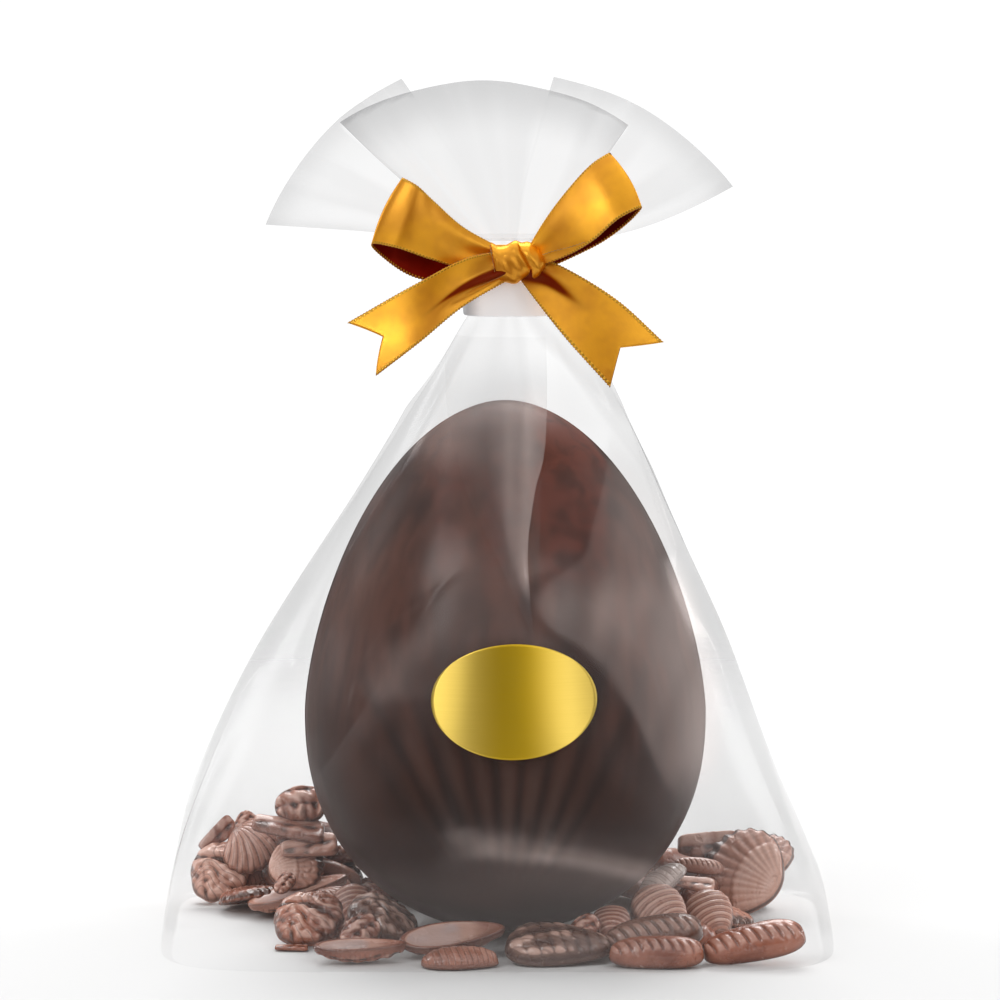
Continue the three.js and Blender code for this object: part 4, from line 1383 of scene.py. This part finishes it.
def ribbon_knot(material):
    """The knot: ribbon wrapped over itself, in a wide lobe and a lobe that crosses it on a slant."""
    around, rows = 170, 130
    share, turn = np.linspace(0, 1, rows)[:, None], once_round(around)
    up, out = signed_power(np.sin(turn), 0.8), signed_power(np.cos(turn), 0.9)
    cap = rounded_end(share / 0.03) * rounded_end((1 - share) / 0.16)
    x = KNOT_LEFT_X + KNOT_LENGTH * share
    middle, half = (KNOT_TOP(x) + KNOT_BOTTOM(x)) / 2, (KNOT_TOP(x) - KNOT_BOTTOM(x)) / 2
    z = middle + half * up * cap
    x = x - 0.19 * (z - 194) * (1 - share)
    slant = x - 5.5 - 0.56 * np.clip(199.6 - z, 0, 7.2) - 0.1 * np.clip(192.4 - z, 0, None)
    relief = np.where(slant < 0, -1.2 * np.exp(slant / 1.7), 0)
    relief = relief + ease(-0.15, 0.25, slant) * (0.5 + 0.6 * hill(slant - 1.1, 1.5))
    relief = relief + 0.3 * hill(x - 1.8, 1.6) + 0.12 * np.sin(1.9 * x + 1.1 * z)
    depth = (KNOT_DEPTH / 2 * cap + relief * ease(0, 0.12, share) * (out > 0)) * out
    uv = np.stack([x, turn * KNOT_RADIUS + 0 * x], -1) * MM
    obj = mesh_object("ribbon_knot", xyz(x, KNOT_Y - depth, z), grid_faces(rows, around, closed=True), uv)
    finish_piece(obj, material, "satin", "ribbon_bow")


# ---------------------------------------------------------------- camera, light and floor, in metres

TARGET = Vector((0.0007, 0, 0.1243))
CAMERA_DISTANCE = 2.6
CAMERA_ELEVATION = math.radians(9)
FRAME_WIDTH = 0.2825
SENSOR_MM = 36

FLOOR_RADIUS = 0.56
FLOOR_SIDES = 128
SKY_BELOW, SKY_ABOVE = 0.15, 0.80
BACKDROP = 1.05
LIGHTS_AIM = Vector((0, 0, 0.1))

# The lights: name, place, size and radiance.
LIGHTS = [
    ("top", (0, 0.22, 1.0), (1.1, 0.8), 0.9),
    ("back", (0, 0.95, 1.0), (0.9, 0.5), 8.0),
    ("key", (-0.8, -0.85, 0.95), (0.46, 0.46), 5.8),
    ("fill", (0.68, -1.02, 0.72), (0.6, 0.6), 1.5),
    ("strip_left", (-0.60, -1.25, 0.30), (0.45, 0.8), 1.5),
    ("strip_right", (0.76, -1.19, 0.30), (0.30, 0.8), 0.95),
    ("rim_left", (-0.9, 0.55, 0.35), (0.18, 0.8), 6.0),
    ("rim_right", (0.9, 0.45, 0.35), (0.18, 0.8), 6.0),
]


def camera():
    data = bpy.data.cameras.new("camera")
    obj = new_object("camera", data)
    back = Vector((0, -math.cos(CAMERA_ELEVATION), math.sin(CAMERA_ELEVATION)))
    obj.location = TARGET + back * CAMERA_DISTANCE
    obj.rotation_euler = (math.pi / 2 - CAMERA_ELEVATION, 0, 0)
    data.sensor_width = SENSOR_MM
    data.lens = SENSOR_MM * CAMERA_DISTANCE / FRAME_WIDTH
    data.clip_start, data.clip_end = 0.05, 60
    bpy.context.scene.camera = obj


def area_light(name, place, size, radiance):
    data = bpy.data.lights.new(name, "AREA")
    data.shape, data.size, data.size_y = "RECTANGLE", size[0], size[1]
    data.energy = radiance * math.pi * size[0] * size[1]
    obj = new_object(name, data)
    obj.location = place
    obj.rotation_euler = (LIGHTS_AIM - Vector(place)).to_track_quat("-Z", "Y").to_euler()
    obj.visible_camera = False


def floor():
    """A round floor that fades out towards its rim."""
    turn = once_round(FLOOR_SIDES)
    rim = xyz(np.cos(turn), np.sin(turn), 0) * FLOOR_RADIUS / MM
    obj = mesh_object("floor", rim, [range(FLOOR_SIDES)], smooth=False)
    n = Material("floor")
    reach = n.add("ShaderNodeVectorMath", {0: n.coordinates["Object"]}, operation="LENGTH").outputs["Value"]
    n.set(
        Roughness=0.9, Specular_IOR_Level=0.0,
        Base_Color=(0.67, 0.67, 0.67),
        Alpha=n.ramp(reach, FLOOR_RADIUS, 0.5 * FLOOR_RADIUS),
    )
    obj.data.materials.append(n.material)


def surroundings():
    """Light from all round, with less from below and from straight in front, and a white backdrop."""
    world = bpy.data.worlds.new("studio")
    world.use_nodes = True
    bpy.context.scene.world = world
    n = Tree(world.node_tree)
    direction = n.axes(n.coordinates["Generated"])
    sky = n.ramp(direction["Z"], -0.2, 0.8, SKY_BELOW, SKY_ABOVE, smooth=False)
    light = n.times(sky, n.ramp(direction["Y"], -0.98, -0.86, 0.3, 1.0))
    seen = n.add("ShaderNodeLightPath").outputs["Is Camera Ray"]
    n.put(n.blend(seen, light, (BACKDROP,) * 3), n.tree.nodes["Background"].inputs["Color"])


def studio():
    camera()
    floor()
    surroundings()
    for light in LIGHTS:
        area_light(*light)
    bpy.context.scene.view_settings.view_transform = "Standard"


# ---------------------------------------------------------------- the whole

studio()

# The bag's film: its pale pinkish second colour is a painted reflection.
film = film_material("clear_film", (0.17, 0.17, 0.175), (0.90, 0.735, 0.685), alpha=0.128, veil_alpha=0.21)
fan_film = film_material("fan_film", (0.30, 0.30, 0.31), (0.26, 0.26, 0.27), alpha=0.215, veil_alpha=0.16)
satin = satin_material("satin", shade=(0.87, 0.315, 0.007), deep=(0.62, 0.165, 0.003), glow=(1.0, 0.76, 0.13))
# Painted shade: a dark red copy of the satin for the loops' inner faces.
satin_shaded_inside = satin_material("satin_shaded_inside", shade=(0.19, 0.005, 0.001), deep=(0.12, 0.003, 0.001),
                              glow=(0.24, 0.02, 0.01))

film_body(film)
film_pleat(film)
film_fans(fan_film)
chocolate_egg(dark_chocolate_material())
small_chocolates(milk_chocolate_material())
label(foil_material(), edge_material())
neck_ring("tie_band_ring", BAND_WALL, BAND_BOTTOM_Z, BAND_TOP_Z, band_material(), "band", "tie_band")
ribbon_bow(satin, satin_shaded_inside, thread_material())
